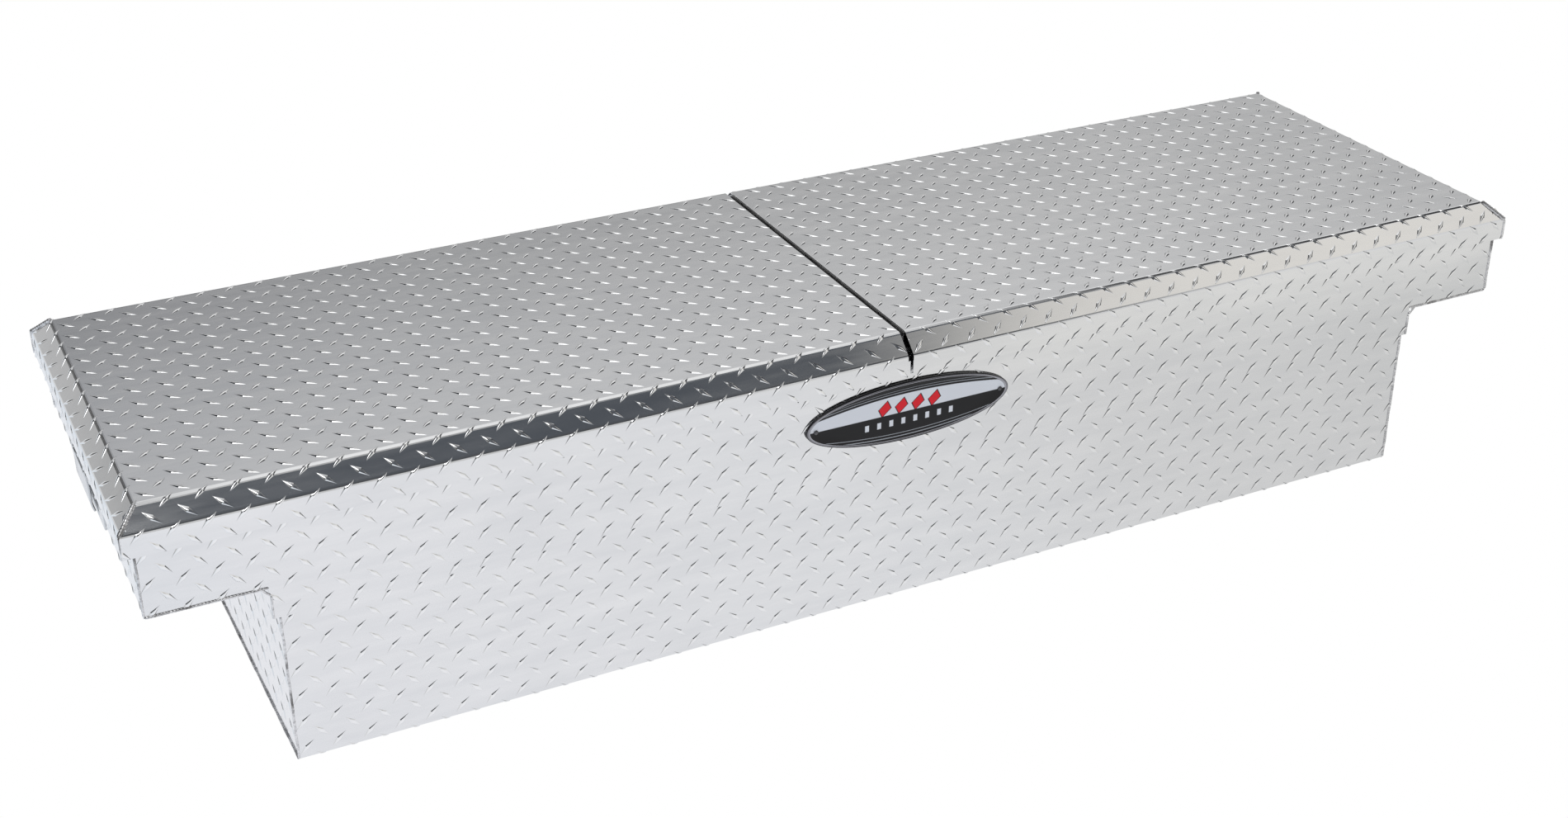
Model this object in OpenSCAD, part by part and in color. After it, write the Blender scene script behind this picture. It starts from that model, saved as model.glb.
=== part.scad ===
// Crossover truck tool box: a deep tub with a wing at each end, folded from tread plate,
// and two gull-wing lids hinged on a bridge across the middle.
// X runs along the length, Y from front to back, Z up. The origin is under the tub's middle.

/* [Overall] */
// Length over the lids
lid_l = 1790; // [1700:10:1900]
// Depth over the lids, front to back
lid_w = 520; // [500:4:600]
// Height from the underside of the tub to the top of the lids
box_h = 347; // [340:1:380]
// Thickness of the tread plate
sheet_t = 1.6; // [1.4:0.1:1.8]
// Inner radius of the bends
bend_r = 1.4; // [1:0.2:2]

/* [Tub] */
// How far the lids reach past each end wall
end_lap = 12; // [11:0.5:14]
// How far the lids reach past the front and rear walls
side_lap = 4; // [4:0.5:6]
// Length between the outer faces of the wings' down-flanges
notch_l = 1510; // [1400:10:1540]
// Height of the wings' undersides
wing_z = 224; // [215:1:230]
// How far the aprons lap down over the tub below the wings
apron_lap = 38; // [30:1:50]
// How far the tub's end plates are set in from the down-flanges
end_step = 7; // [6:0.5:9]
// Width of the rim turned inwards round the top
rim_w = 25; // [22:1:28]
// Radius of the mounting holes in the wings
mount_r = 5.25; // [4:0.25:6]
// Distance between the two mounting holes of a wing
mount_pitch = 300; // [200:10:360]

/* [Lids] */
// Width of the gap between the lids
lid_gap = 7; // [7:0.5:8]
// Width of the chamfer, seen from above
chamfer_w = 23; // [20:1:25]
// Height of the chamfer
chamfer_h = 22; // [20:1:23]
// Height of the upright flange below the chamfer
flange_h = 27; // [24:1:27]
// Height of the weather seal on the rim
seal_h = 6.7; // [6:0.1:7]
// Width of the weather seal
seal_w = 12; // [10:1:14]

/* [Hinges and gas struts] */
// Depth of the hinge axis below the underside of the lid's top sheet
hinge_drop = 2.5; // [2.5:0.1:3]
// Outer radius of the hinge knuckles
knuckle_r = 2.2; // [2.1:0.05:2.2]
// Radius of the hinge pins
pin_r = 1.25; // [1.1:0.05:1.25]
// Length of a hinge knuckle, rounded so that a whole number fits
knuckle_l = 30; // [25:1:40]
// Radius of a gas strut's tube
strut_r = 9; // [8:0.5:10]
// Radius of a gas strut's rod
rod_r = 4; // [3:0.5:4]

/* [Latches] */
// Height of the middle of the latch plates
latch_z = 258; // [256:1:259]
// Width of a latch plate, front to back
dish_w = 150; // [146:1:156]
// Height of a latch plate
dish_h = 60; // [58:1:62]
// Depth of the finger recess
recess_d = 14; // [13:0.5:14]
// Width of a paddle
paddle_w = 84; // [80:1:84]

/* [Badge] */
// Length of the oval badge plate
badge_l = 269; // [200:1:290]
// Height of the oval badge plate
badge_h = 76; // [60:1:76]
// Height of the middle of the badge
badge_z = 254; // [250:1:258]

/* [Hidden] */
$fn = 48;

slip = 0.05;                            // running clearance on a radius
gap = 0.3;                              // clearance between pieces that move past each other
bend_steps = 3;                         // flats in each bend

end_x = lid_l / 2 - end_lap;            // outer face of the end walls
wall_y = lid_w / 2 - side_lap;          // outer face of the aprons
notch_x = notch_l / 2;                  // outer face of the down-flanges
tub_x = notch_x - end_step;             // outer face of the tub's end plates
tub_y = wall_y - sheet_t;               // outer face of the lower tub
lap_z = wing_z - apron_lap;             // lower edge of the aprons
flange_z = box_h - chamfer_h - flange_h; // lower edge of the lids
liner_z = box_h - chamfer_h;            // underside of the lid liners
rim_z = liner_z - seal_h - gap;         // top of the rim
rim_bend = bend_r + sheet_t + 0.5;      // how far in the aprons' top bends reach

liner_t = 1.2;
liner_lip = 12;                         // depth of the liner's turned-down lip
liner_glue = 0.6;                       // glue line between a liner's lip and the flanges
hinge_x = lid_gap / 2 + 2;              // hinge axes, either side of the middle
hinge_z = box_h - sheet_t - hinge_drop;
leaf_t = 1.2;
leaf_in = 3;                            // face of the rib that the fixed leaves lie on
leaf_w = 24;                            // width of a lid leaf from the hinge axis
hinge_y = lid_w / 2 - chamfer_w - 4;    // half the length of the hinges
knuckles = 2 * floor(hinge_y / knuckle_l) + 1;
knuckle_pitch = 2 * hinge_y / knuckles;
gasket_z = box_h - 5.6;                 // top of the rubber strip, clear of the lids' edges
gasket_h = 3.4;
bridge_x = 58;
bridge_h = 40;
bridge_t = 2;
rib_foot = 20;
rib_foot_t = 3;
liner_in = 34;                          // inner end of the lid liners
seal_in = 42;                           // the seals' inner strip, on the bridge

strut_y = 212;
foot_x = hinge_x + 40;                  // pivot of a gas strut on the tub
foot_z = hinge_z - 200;
lug_x = hinge_x + 190;                  // pivot of a gas strut on the lid
lug_z = hinge_z - 38;
strut_l = norm([lug_x - foot_x, lug_z - foot_z]);
strut_a = atan2(lug_z - foot_z, lug_x - foot_x);
eye_r = 8;
tube_end = 172;                         // far end of the tube, from the lower pivot
stud_r = 4;

lock_y = 58;
lock_r = 6;
screw_y = 70;
spring_y = 12;                          // first coil of the paddle's spring
coils = 6;
coil_r = 3;
coil_wire_r = 0.6;
tray_w = paddle_w + 4;                  // finger recess, inside
tray_h = 48;
tray_t = 1.5;
case_d = 24;
paddle_pin = [-6.2, 24];                // from the middle of the latch plate, X then Z
paddle_pin_r = 2;
paddle_t = 2.5;
ear_w = 3;
arm_w = 5;
cross_pin = [33.5, 3.5];                // pin on the paddle's arm that draws the bolt
cross_pin_r = 2.5;
badge_t = 2.6;
badge_rivet_x = badge_l / 2 - 12;
bolt_tail = cross_pin[0] - cross_pin_r - 0.4;
bolt_z = 16;                            // middle of the bolt above the plate's middle
bolt_w = 12;
nose_x = 49;
striker_x = 43;
striker_t = 2.5;
striker_w = 28;

// ---- folded sheet ----

function unit(v) = v / norm(v);
function right_of(d) = [d[1], -d[0]];
function turn_of(a, b) = atan2(a[0] * b[1] - a[1] * b[0], a * b);

// Points of one bend at corner p between directions a and b, on the face at depth o
// to the right of the line: an arc about the bend's own centre
function bend(p, a, b, t, o) =
    let(turn = turn_of(a, b),
        side = turn < 0 ? 1 : -1,
        face_r = turn < 0 ? bend_r + t : bend_r,
        na = right_of(a),
        nb = right_of(b),
        centre = p + side * face_r * (na + nb) / (1 + na * nb),
        start = atan2(na[1], na[0]),
        r = face_r - side * o)
    [for (i = [0 : bend_steps])
        let(w = start + turn * i / bend_steps)
        centre - side * r * [cos(w), sin(w)]];

// One face of a sheet folded along a line of corners, at depth o from the line
function face(line, t, o) =
    let(n = len(line) - 1)
    concat([line[0] + o * right_of(unit(line[1] - line[0]))],
        [for (i = [1 : n - 1])
            for (q = bend(line[i], unit(line[i] - line[i - 1]), unit(line[i + 1] - line[i]), t, o))
                q],
        [line[n] + o * right_of(unit(line[n] - line[n - 1]))]);

function reversed(list) = [for (i = [len(list) - 1 : -1 : 0]) list[i]];

function sheet_outline(line, t) = concat(face(line, t, 0), reversed(face(line, t, t)));

// Extrudes an outline drawn in Y and Z from x0 to x1
module along_x(x0, x1) {
    translate([x0, 0, 0])
        rotate([90, 0, 90])
            linear_extrude(x1 - x0)
                children();
}

// Extrudes an outline drawn in X and Z from y0 to y1
module along_y(y0, y1) {
    translate([0, y1, 0])
        rotate([90, 0, 0])
            linear_extrude(y1 - y0)
                children();
}

module block(lo, hi) {
    translate(lo)
        cube(hi - lo);
}

module rounded_rect(w, h, r) {
    union() {
        square([w - 2 * r, h], center = true);
        square([w, h - 2 * r], center = true);
        for (x = [-1, 1], y = [-1, 1])
            translate([x * (w / 2 - r), y * (h / 2 - r)])
                circle(r);
    }
}

// A cylinder along Y, given by its middle in X and Z
module rod_y(x, z, y0, y1, r) {
    translate([x, y0, z])
        rotate([-90, 0, 0])
            cylinder(h = y1 - y0, r = r);
}

module rod_x(x0, x1, y, z, r) {
    translate([x0, y, z])
        rotate([0, 90, 0])
            cylinder(h = x1 - x0, r = r);
}

module right_hand() {
    mirror([1, 0, 0])
        children();
}

// Places children on a latch plate of the left end wall: X inwards, Z up from its middle
module at_latch() {
    translate([-end_x, 0, latch_z])
        children();
}

// Places children in a left gas strut's line: local X runs from the tub's pivot to the lid's
module at_strut() {
    translate([-foot_x, strut_y, foot_z])
        mirror([1, 0, 0])
            rotate([0, -strut_a, 0])
                children();
}

// ---- tub ----

tub_line = [[tub_y, wing_z], [tub_y, 0], [-tub_y, 0], [-tub_y, wing_z]];

module lower_tub() {
    color("silver")
        along_x(-tub_x, tub_x)
            polygon(sheet_outline(tub_line, sheet_t));
}

// The end plate stands inside the U, and its top edge is turned out over the wing's floor
module left_tub_end() {
    plate_line = [[-tub_x, 0], [-tub_x, wing_z + sheet_t], [-tub_x - 27, wing_z + sheet_t]];
    inside = face(tub_line, sheet_t, sheet_t);
    color("silver")
        intersection() {
            along_y(-tub_y + sheet_t, tub_y - sheet_t)
                polygon(sheet_outline(plate_line, sheet_t));
            along_x(-end_x, 0)
                polygon(concat(inside, [[inside[len(inside) - 1][0], box_h], [inside[0][0], box_h]]));
        }
}

module right_tub_end() {
    right_hand()
        left_tub_end();
}

// A strip along one side, cut away under the wings and bent inwards along the top
module front_apron() {
    line = [[-wall_y, lap_z], [-wall_y, rim_z], [-wall_y + rim_bend, rim_z]];
    color("silver")
        difference() {
            along_x(-end_x, end_x)
                polygon(sheet_outline(line, sheet_t));
            for (s = [-1, 1])
                translate([s * (notch_x + lid_l / 2), 0, wing_z - box_h / 2])
                    cube([lid_l, 2 * lid_w, box_h], center = true);
        }
}

module rear_apron() {
    mirror([0, 1, 0])
        front_apron();
}

// Flat strip welded along the apron's bend, which carries the weather seals
module front_rim() {
    color("gainsboro")
        block([-end_x, -wall_y + rim_bend, rim_z - sheet_t], [end_x, -wall_y + rim_w, rim_z]);
}

module rear_rim() {
    mirror([0, 1, 0])
        front_rim();
}

// End wall, wing floor and down-flange in one sheet, with the rim flange between the aprons
module left_wing_pan() {
    pan_line = [[-tub_x, lap_z], [-notch_x, lap_z], [-notch_x, wing_z], [-end_x, wing_z],
        [-end_x, rim_z - sheet_t]];
    rim_line = [[-end_x, rim_z - rim_w], [-end_x, rim_z], [-end_x + rim_w, rim_z]];
    color("silver")
        difference() {
            union() {
                along_y(-tub_y, tub_y)
                    polygon(sheet_outline(pan_line, sheet_t));
                along_y(-wall_y + rim_w, wall_y - rim_w)
                    polygon(sheet_outline(rim_line, sheet_t));
            }
            at_latch() {
                block([-1, -tray_w / 2 - 2.5, -tray_h / 2 - 2.5],
                    [sheet_t + 1, tray_w / 2 + 2.5, tray_h / 2 + 2.5]);
                rod_x(-1, sheet_t + 1, lock_y, 0, lock_r + 2.4);
                for (s = [-1, 1])
                    rod_x(-1, sheet_t + 1, s * screw_y, 0, 2.6);
            }
            for (s = [-1, 1])
                translate([-(end_x + notch_x) / 2, s * mount_pitch / 2, wing_z - 1])
                    cylinder(h = sheet_t + 2, r = mount_r);
        }
}

module right_wing_pan() {
    right_hand()
        left_wing_pan();
}

// ---- seals, bridge and hinges ----

// D-shaped outline standing on the rim, its middle at u
module seal_shape(u) {
    translate([u, rim_z])
        union() {
            translate([-seal_w / 2, 0])
                square([seal_w, seal_h - seal_w / 2 + 3]);
            intersection() {
                translate([0, seal_h - seal_w / 2 - 1.2])
                    circle(seal_w / 2 + 1.2);
                translate([-seal_w / 2, 0])
                    square([seal_w, seal_h]);
            }
        }
}

module left_rim_seal() {
    mid = rim_w / 2;
    seal_y = wall_y - mid;
    x0 = -end_x + mid;
    x1 = -seal_in - seal_w / 2;
    color("dimgray")
        union() {
            for (s = [-1, 1])
                along_x(x0 - seal_w / 2, x1 + seal_w / 2)
                    seal_shape(s * seal_y);
            for (x = [x0, x1])
                along_y(-seal_y, seal_y)
                    seal_shape(x);
        }
}

module right_rim_seal() {
    right_hand()
        left_rim_seal();
}

module centre_bridge() {
    y = wall_y - rim_w;
    line = [[-bridge_x, rim_z - bridge_h], [-bridge_x, rim_z], [bridge_x, rim_z],
        [bridge_x, rim_z - bridge_h]];
    color("silver")
        along_y(-y, y)
            polygon(sheet_outline(line, bridge_t));
}

module hinge_rib() {
    color("gray")
        along_y(-hinge_y, hinge_y)
            polygon([[-rib_foot, rim_z], [rib_foot, rim_z], [rib_foot, rim_z + rib_foot_t],
                [leaf_in, rim_z + rib_foot_t], [leaf_in, gasket_z - gasket_h],
                [-leaf_in, gasket_z - gasket_h], [-leaf_in, rim_z + rib_foot_t],
                [-rib_foot, rim_z + rib_foot_t]]);
}

module centre_gasket() {
    lip = 0.8;
    color("black")
        along_y(-hinge_y, hinge_y)
            polygon([[-leaf_in, gasket_z - gasket_h], [leaf_in, gasket_z - gasket_h],
                [leaf_in, gasket_z - lip], [leaf_in - lip, gasket_z], [lip - leaf_in, gasket_z],
                [-leaf_in, gasket_z - lip]]);
}

// Every second knuckle of a left hinge, starting with number first
module knuckle_row(first) {
    for (i = [first : 2 : knuckles - 1])
        rod_y(-hinge_x, hinge_z, -hinge_y + i * knuckle_pitch + gap / 2,
            -hinge_y + (i + 1) * knuckle_pitch - gap / 2, knuckle_r);
}

module left_hinge_leaf() {
    top = hinge_z - knuckle_r - gap;
    color("gainsboro")
        difference() {
            union() {
                knuckle_row(0);
                block([-leaf_in - leaf_t, -hinge_y, rim_z + rib_foot_t + 1],
                    [-leaf_in, hinge_y, top]);
                for (i = [0 : 2 : knuckles - 1])
                    block([-leaf_in - leaf_t, -hinge_y + i * knuckle_pitch + gap / 2, top - 1],
                        [-leaf_in, -hinge_y + (i + 1) * knuckle_pitch - gap / 2, hinge_z - 1.4]);
            }
            rod_y(-hinge_x, hinge_z, -hinge_y - 1, hinge_y + 1, pin_r + slip);
        }
}

module right_hinge_leaf() {
    right_hand()
        left_hinge_leaf();
}

module left_hinge_pin() {
    color("gray")
        rod_y(-hinge_x, hinge_z, -hinge_y - 1, hinge_y + 1, pin_r);
}

module right_hinge_pin() {
    right_hand()
        left_hinge_pin();
}

module hinge_rivets() {
    z = rim_z + rib_foot_t + 7;
    color("gray")
        for (s = [-1, 1], i = [0 : 7])
            rod_x(s * (leaf_in + leaf_t + 0.6) - 0.6, s * (leaf_in + leaf_t + 0.6) + 0.6,
                (i - 3.5) * hinge_y / 4, z, 3);
}

// ---- latches, fixed pieces ----

module left_latch_dish() {
    color("lightgray")
        at_latch()
            difference() {
                union() {
                    along_x(-2, 0)
                        rounded_rect(dish_w, dish_h, 8);
                    block([-1, -tray_w / 2 - tray_t, -tray_h / 2 - tray_t],
                        [recess_d, tray_w / 2 + tray_t, tray_h / 2 + tray_t]);
                    rod_x(-4, 6, lock_y, 0, lock_r + 2);
                    for (s = [-1, 1])
                        block([-9.5, s * (paddle_w / 2 + 0.5 + ear_w / 2) - ear_w / 2, 19],
                            [-1, s * (paddle_w / 2 + 0.5 + ear_w / 2) + ear_w / 2, 28]);
                }
                block([-3, -tray_w / 2, -tray_h / 2], [recess_d - tray_t, tray_w / 2, tray_h / 2]);
                block([recess_d - 3, -4, -14.5], [recess_d + 1, 4, 9]);
                rod_x(-5, 7, lock_y, 0, lock_r + slip);
                for (s = [-1, 1])
                    rod_x(-3, 1, s * screw_y, 0, 2.6);
                rod_y(paddle_pin[0], paddle_pin[1], -paddle_w, paddle_w, paddle_pin_r + slip);
            }
}

module right_latch_dish() {
    right_hand()
        left_latch_dish();
}

// Case behind the recess that guides the bolt
module left_latch_case() {
    w = 10.6;
    wall = 1.5;
    lo = -22;
    hi = 32;
    color("gray")
        at_latch()
            difference() {
                block([recess_d, -w - wall, lo], [recess_d + case_d, w + wall, hi]);
                block([recess_d - 1, -w, lo + wall], [recess_d + case_d - wall, w, hi - wall]);
                block([recess_d, -bolt_w / 2 - gap, bolt_z - bolt_w / 2 - gap],
                    [recess_d + case_d + 1, bolt_w / 2 + gap, bolt_z + bolt_w / 2 + gap]);
            }
}

module right_latch_case() {
    right_hand()
        left_latch_case();
}

module left_paddle_pin() {
    half = paddle_w / 2 + 0.5 + ear_w + 1;
    color("gray")
        at_latch()
            rod_y(paddle_pin[0], paddle_pin[1], -half, half, paddle_pin_r);
}

module right_paddle_pin() {
    right_hand()
        left_paddle_pin();
}

// Torsion spring round the pin, in the gap between the paddle's two knuckles
module left_paddle_spring() {
    color("darkgray")
        at_latch()
            union() {
                for (i = [0 : coils - 1])
                    translate([paddle_pin[0], spring_y + i, paddle_pin[1]])
                        rotate([90, 0, 0])
                            rotate_extrude()
                                translate([coil_r, 0])
                                    circle(coil_wire_r);
                translate([paddle_pin[0] + coil_r, spring_y, paddle_pin[1] / 2])
                    cylinder(h = paddle_pin[1] / 2, r = coil_wire_r);
            }
}

module right_paddle_spring() {
    right_hand()
        left_paddle_spring();
}

module latch_screws() {
    color("gray")
        for (m = [0, 1], s = [-1, 1])
            mirror([m, 0, 0])
                at_latch()
                    union() {
                        rod_x(-3.6, -2, s * screw_y, 0, 3.4);
                        rod_x(-3, sheet_t + 4, s * screw_y, 0, 2);
                    }
}

// ---- badge ----

module oval(l, h) {
    polygon([for (a = [0 : 5 : 355]) [l / 2 * cos(a), h / 2 * sin(a)]]);
}

module badge_plate() {
    color("black")
        translate([0, -wall_y, badge_z])
            rotate([90, 0, 0])
                difference() {
                    linear_extrude(badge_t)
                        oval(badge_l, badge_h);
                    for (s = [-1, 1])
                        translate([s * badge_rivet_x, 0, -1])
                            cylinder(h = badge_t + 2, r = 1.6);
                }
}

module badge_rivets() {
    color("dimgray")
        for (s = [-1, 1])
            translate([s * badge_rivet_x, -wall_y, badge_z])
                rotate([90, 0, 0])
                    union() {
                        cylinder(h = badge_t + 0.5, r = 1.5);
                        translate([0, 0, badge_t])
                            cylinder(h = 1.2, r = 3);
                    }
}

// ---- lids ----

lid_side = [[-lid_w / 2, flange_z], [-lid_w / 2, liner_z], [chamfer_w - lid_w / 2, box_h],
    [lid_w / 2 - chamfer_w, box_h], [lid_w / 2, liner_z], [lid_w / 2, flange_z]];
lid_end = [[-lid_l / 2, flange_z], [-lid_l / 2, liner_z], [chamfer_w - lid_l / 2, box_h],
    [-lid_gap / 2, box_h]];

// The block inside a lid's skin at depth o, cut off at height z0 and at its inner end x1
module lid_block(o, z0, x1) {
    side = face(lid_side, sheet_t, o);
    end = face(lid_end, sheet_t, o);
    intersection() {
        along_x(-lid_l, x1)
            polygon(concat([[side[0][0], z0]], side, [[side[len(side) - 1][0], z0]]));
        along_y(-lid_w, lid_w)
            polygon(concat([[end[0][0], z0]], end, [[x1, box_h - o], [x1, z0]]));
    }
}

module left_lid_skin() {
    color("silver")
        difference() {
            lid_block(0, flange_z, -lid_gap / 2);
            lid_block(sheet_t, flange_z - 10, 1);
        }
}

module right_lid_skin() {
    right_hand()
        left_lid_skin();
}

// Smooth pan: flat, with a lip turned down inside the flanges and an inner end turned up
module left_lid_liner() {
    y = lid_w / 2 - sheet_t - liner_glue;
    x = -lid_l / 2 + sheet_t + liner_glue;
    side_line = [[-y, liner_z - liner_lip], [-y, liner_z + liner_t], [y, liner_z + liner_t],
        [y, liner_z - liner_lip]];
    end_line = [[x, liner_z - liner_lip], [x, liner_z + liner_t],
        [-liner_in, liner_z + liner_t]];
    outer_side = face(side_line, liner_t, 0);
    outer_end = face(end_line, liner_t, 0);
    inner_side = face(side_line, liner_t, liner_t);
    inner_end = face(end_line, liner_t, liner_t);
    low = liner_z - liner_lip;
    color("lightgray")
        union() {
            difference() {
                intersection() {
                    along_x(x, -liner_in)
                        polygon(outer_side);
                    along_y(-y, y)
                        polygon(concat(outer_end, [[-liner_in, low]]));
                }
                intersection() {
                    along_x(x - 1, 1 - liner_in)
                        polygon(concat([[inner_side[0][0], low - 1]], inner_side,
                            [[inner_side[len(inner_side) - 1][0], low - 1]]));
                    along_y(-y, y)
                        polygon(concat([[inner_end[0][0], low - 1]], inner_end,
                            [[1 - liner_in, inner_end[len(inner_end) - 1][1]],
                             [1 - liner_in, low - 1]]));
                }
            }
            block([-liner_in - liner_t, -hinge_y, liner_z + 0.6],
                [-liner_in, hinge_y, box_h - sheet_t]);
        }
}

module right_lid_liner() {
    right_hand()
        left_lid_liner();
}

// Hat sections across the lid, between the liner and the top sheet
module left_lid_ribs() {
    h = box_h - sheet_t;
    z = liner_z + 2 * liner_t;
    color("lightgray")
        for (i = [1 : 3]) {
            x = -i * lid_l / 8 - 10;
            along_y(-hinge_y, hinge_y)
                polygon(sheet_outline([[x - 34, z], [x - 18, z], [x - 12, h], [x + 12, h],
                    [x + 18, z], [x + 34, z]], liner_t));
        }
}

module right_lid_ribs() {
    right_hand()
        left_lid_ribs();
}

module left_lid_leaf() {
    top = box_h - sheet_t;
    notch = knuckle_r + gap;
    color("gainsboro")
        difference() {
            union() {
                knuckle_row(1);
                block([-hinge_x - leaf_w, -hinge_y, top - leaf_t], [-hinge_x, hinge_y, top]);
            }
            for (i = [0 : 2 : knuckles])
                block([-hinge_x - notch, -hinge_y + i * knuckle_pitch - gap / 2, top - leaf_t - 1],
                    [0, -hinge_y + (i + 1) * knuckle_pitch + gap / 2, top + 1]);
            rod_y(-hinge_x, hinge_z, -hinge_y - 1, hinge_y + 1, pin_r + slip);
        }
}

module right_lid_leaf() {
    right_hand()
        left_lid_leaf();
}

// Plate hanging from the liner, with a foot and a window for the bolt
module left_striker() {
    top = liner_z - latch_z;
    low = bolt_z - bolt_w / 2 - 0.6;
    bar = 10;
    color("gainsboro")
        at_latch()
            difference() {
                union() {
                    block([striker_x, -striker_w / 2, low - bar],
                        [striker_x + striker_t, striker_w / 2, top]);
                    block([striker_x, -striker_w / 2, top - striker_t],
                        [striker_x + 22, striker_w / 2, top]);
                }
                block([striker_x - 1, -bolt_w / 2 - 1.5, low],
                    [striker_x + striker_t + 1, bolt_w / 2 + 1.5, low + bolt_w + 4]);
            }
}

module right_striker() {
    right_hand()
        left_striker();
}

// Bracket under the liner that the upper stud of a gas strut is bolted to
module left_strut_lug() {
    y0 = strut_y + 10;
    t = 3;
    color("gainsboro")
        union() {
            block([-lug_x - 18, y0, lug_z - 14], [-lug_x + 18, y0 + t, liner_z]);
            block([-lug_x - 18, y0 - 20, liner_z - t], [-lug_x + 18, y0 + t, liner_z]);
            rod_y(-lug_x, lug_z, y0 + t, y0 + t + 3, 5);
        }
}

module right_strut_lug() {
    right_hand()
        left_strut_lug();
}

// ---- moving latch pieces ----

module left_paddle() {
    px = paddle_pin[0];
    pz = paddle_pin[1];
    skin = [[px - 3.6, pz], [px - 2.6, pz - 12], [px - 2.6, pz - 36], [px - 0.2, pz - 44]];
    knuckle_w = 10;
    color("lightgray")
        at_latch()
            difference() {
                union() {
                    along_y(-paddle_w / 2, paddle_w / 2)
                        polygon(sheet_outline(reversed(skin), paddle_t));
                    for (s = [-1, 1])
                        rod_y(px, pz, s * (paddle_w / 2 - knuckle_w / 2) - knuckle_w / 2,
                            s * (paddle_w / 2 - knuckle_w / 2) + knuckle_w / 2, 3.6);
                    block([px - 1.4, -arm_w / 2, cross_pin[1] - 2.5],
                        [cross_pin[0], arm_w / 2, cross_pin[1] + 2]);
                    rod_y(cross_pin[0], cross_pin[1], -8, 8, cross_pin_r);
                }
                rod_y(px, pz, -paddle_w, paddle_w, paddle_pin_r + slip);
                rod_y(px, pz, spring_y - coil_wire_r - gap, spring_y + coils - 1 + coil_wire_r + gap,
                    coil_r + coil_wire_r + gap);
            }
}

module right_paddle() {
    right_hand()
        left_paddle();
}

// Bevelled bolt on a slotted tail plate that the paddle's cross pin pulls outwards
module left_latch_bolt() {
    tail_t = 3;
    bevel = 8;
    z0 = bolt_z - bolt_w / 2;
    z1 = bolt_z + bolt_w / 2;
    color("gainsboro")
        at_latch()
            difference() {
                union() {
                    block([bolt_tail - tail_t, -10, -18], [bolt_tail, 10, z1 + 2]);
                    along_y(-bolt_w / 2, bolt_w / 2)
                        polygon([[bolt_tail - 1, z0], [nose_x, z0], [nose_x, z1 - bevel],
                            [nose_x - bevel, z1], [bolt_tail - 1, z1]]);
                }
                block([bolt_tail - tail_t - 1, -arm_w / 2 - 0.7, -14.5],
                    [bolt_tail + 1, arm_w / 2 + 0.7, 9.4]);
            }
}

module right_latch_bolt() {
    right_hand()
        left_latch_bolt();
}

// Key plug, with its lever behind the plate
module left_lock_plug() {
    color("silver")
        at_latch()
            difference() {
                union() {
                    rod_x(-4.5, 14, lock_y, 0, lock_r);
                    block([12, lock_y - 3, -9], [14, lock_y + 3, 0]);
                }
                block([-5, lock_y - 0.6, -4], [3, lock_y + 0.6, 4]);
            }
}

module right_lock_plug() {
    right_hand()
        left_lock_plug();
}

// ---- gas struts ----

// Bracket on the rear wall with the stud that the strut's tube swings on
module left_strut_foot() {
    wall = tub_y - sheet_t;
    t = 4;
    color("gray")
        union() {
            block([-foot_x - 20, wall - t, foot_z - 30], [-foot_x + 20, wall, foot_z + 30]);
            rod_y(-foot_x, foot_z, strut_y + 5.5, wall - t, 7);
            rod_y(-foot_x, foot_z, strut_y - 5, strut_y + 6, stud_r);
        }
}

module right_strut_foot() {
    right_hand()
        left_strut_foot();
}

module left_strut_tube() {
    color("black")
        at_strut()
            difference() {
                union() {
                    rod_y(0, 0, -5, 5, eye_r);
                    rod_x(0, 16, 0, 0, 5);
                    rod_x(12, tube_end, 0, 0, strut_r);
                }
                rod_y(0, 0, -10, 10, stud_r + slip);
                rod_x(18, tube_end - 8, 0, 0, strut_r - 1.5);
                rod_x(20, tube_end + 1, 0, 0, rod_r + slip);
            }
}

module right_strut_tube() {
    right_hand()
        left_strut_tube();
}

// Rod with its piston, end fitting and the upper stud
module left_strut_rod() {
    piston_x = 20;
    color("gainsboro")
        at_strut()
            union() {
                rod_x(piston_x, strut_l - 4, 0, 0, rod_r);
                rod_x(piston_x, piston_x + 8, 0, 0, strut_r - 1.5 - gap);
                rod_x(strut_l - 22, strut_l, 0, 0, 5.5);
                rod_y(strut_l, 0, -5, 5, eye_r);
                rod_y(strut_l, 0, 4, 10 - gap, stud_r);
            }
}

module right_strut_rod() {
    right_hand()
        left_strut_rod();
}

lower_tub();
left_tub_end();
right_tub_end();
front_apron();
rear_apron();
front_rim();
rear_rim();
left_wing_pan();
right_wing_pan();
left_rim_seal();
right_rim_seal();
centre_bridge();
hinge_rib();
centre_gasket();
hinge_rivets();
left_hinge_leaf();
right_hinge_leaf();
left_hinge_pin();
right_hinge_pin();
left_latch_dish();
right_latch_dish();
left_latch_case();
right_latch_case();
left_paddle_pin();
right_paddle_pin();
left_paddle_spring();
right_paddle_spring();
latch_screws();
left_strut_foot();
right_strut_foot();
badge_plate();
badge_rivets();
left_lid_skin();
right_lid_skin();
left_lid_liner();
right_lid_liner();
left_lid_ribs();
right_lid_ribs();
left_lid_leaf();
right_lid_leaf();
left_striker();
right_striker();
left_strut_lug();
right_strut_lug();
left_paddle();
right_paddle();
left_latch_bolt();
right_latch_bolt();
left_lock_plug();
right_lock_plug();
left_strut_tube();
right_strut_tube();
left_strut_rod();
right_strut_rod();
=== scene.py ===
"""Crossover truck tool box: the looks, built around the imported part.

Lengths inside the sections are in millimetres, in the part's own frame: X along the box,
Y from front to back, Z up. The sections follow the box as it is put together.
"""

import math

import bmesh
import bpy
import numpy as np
from mathutils import Matrix, Vector


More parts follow.
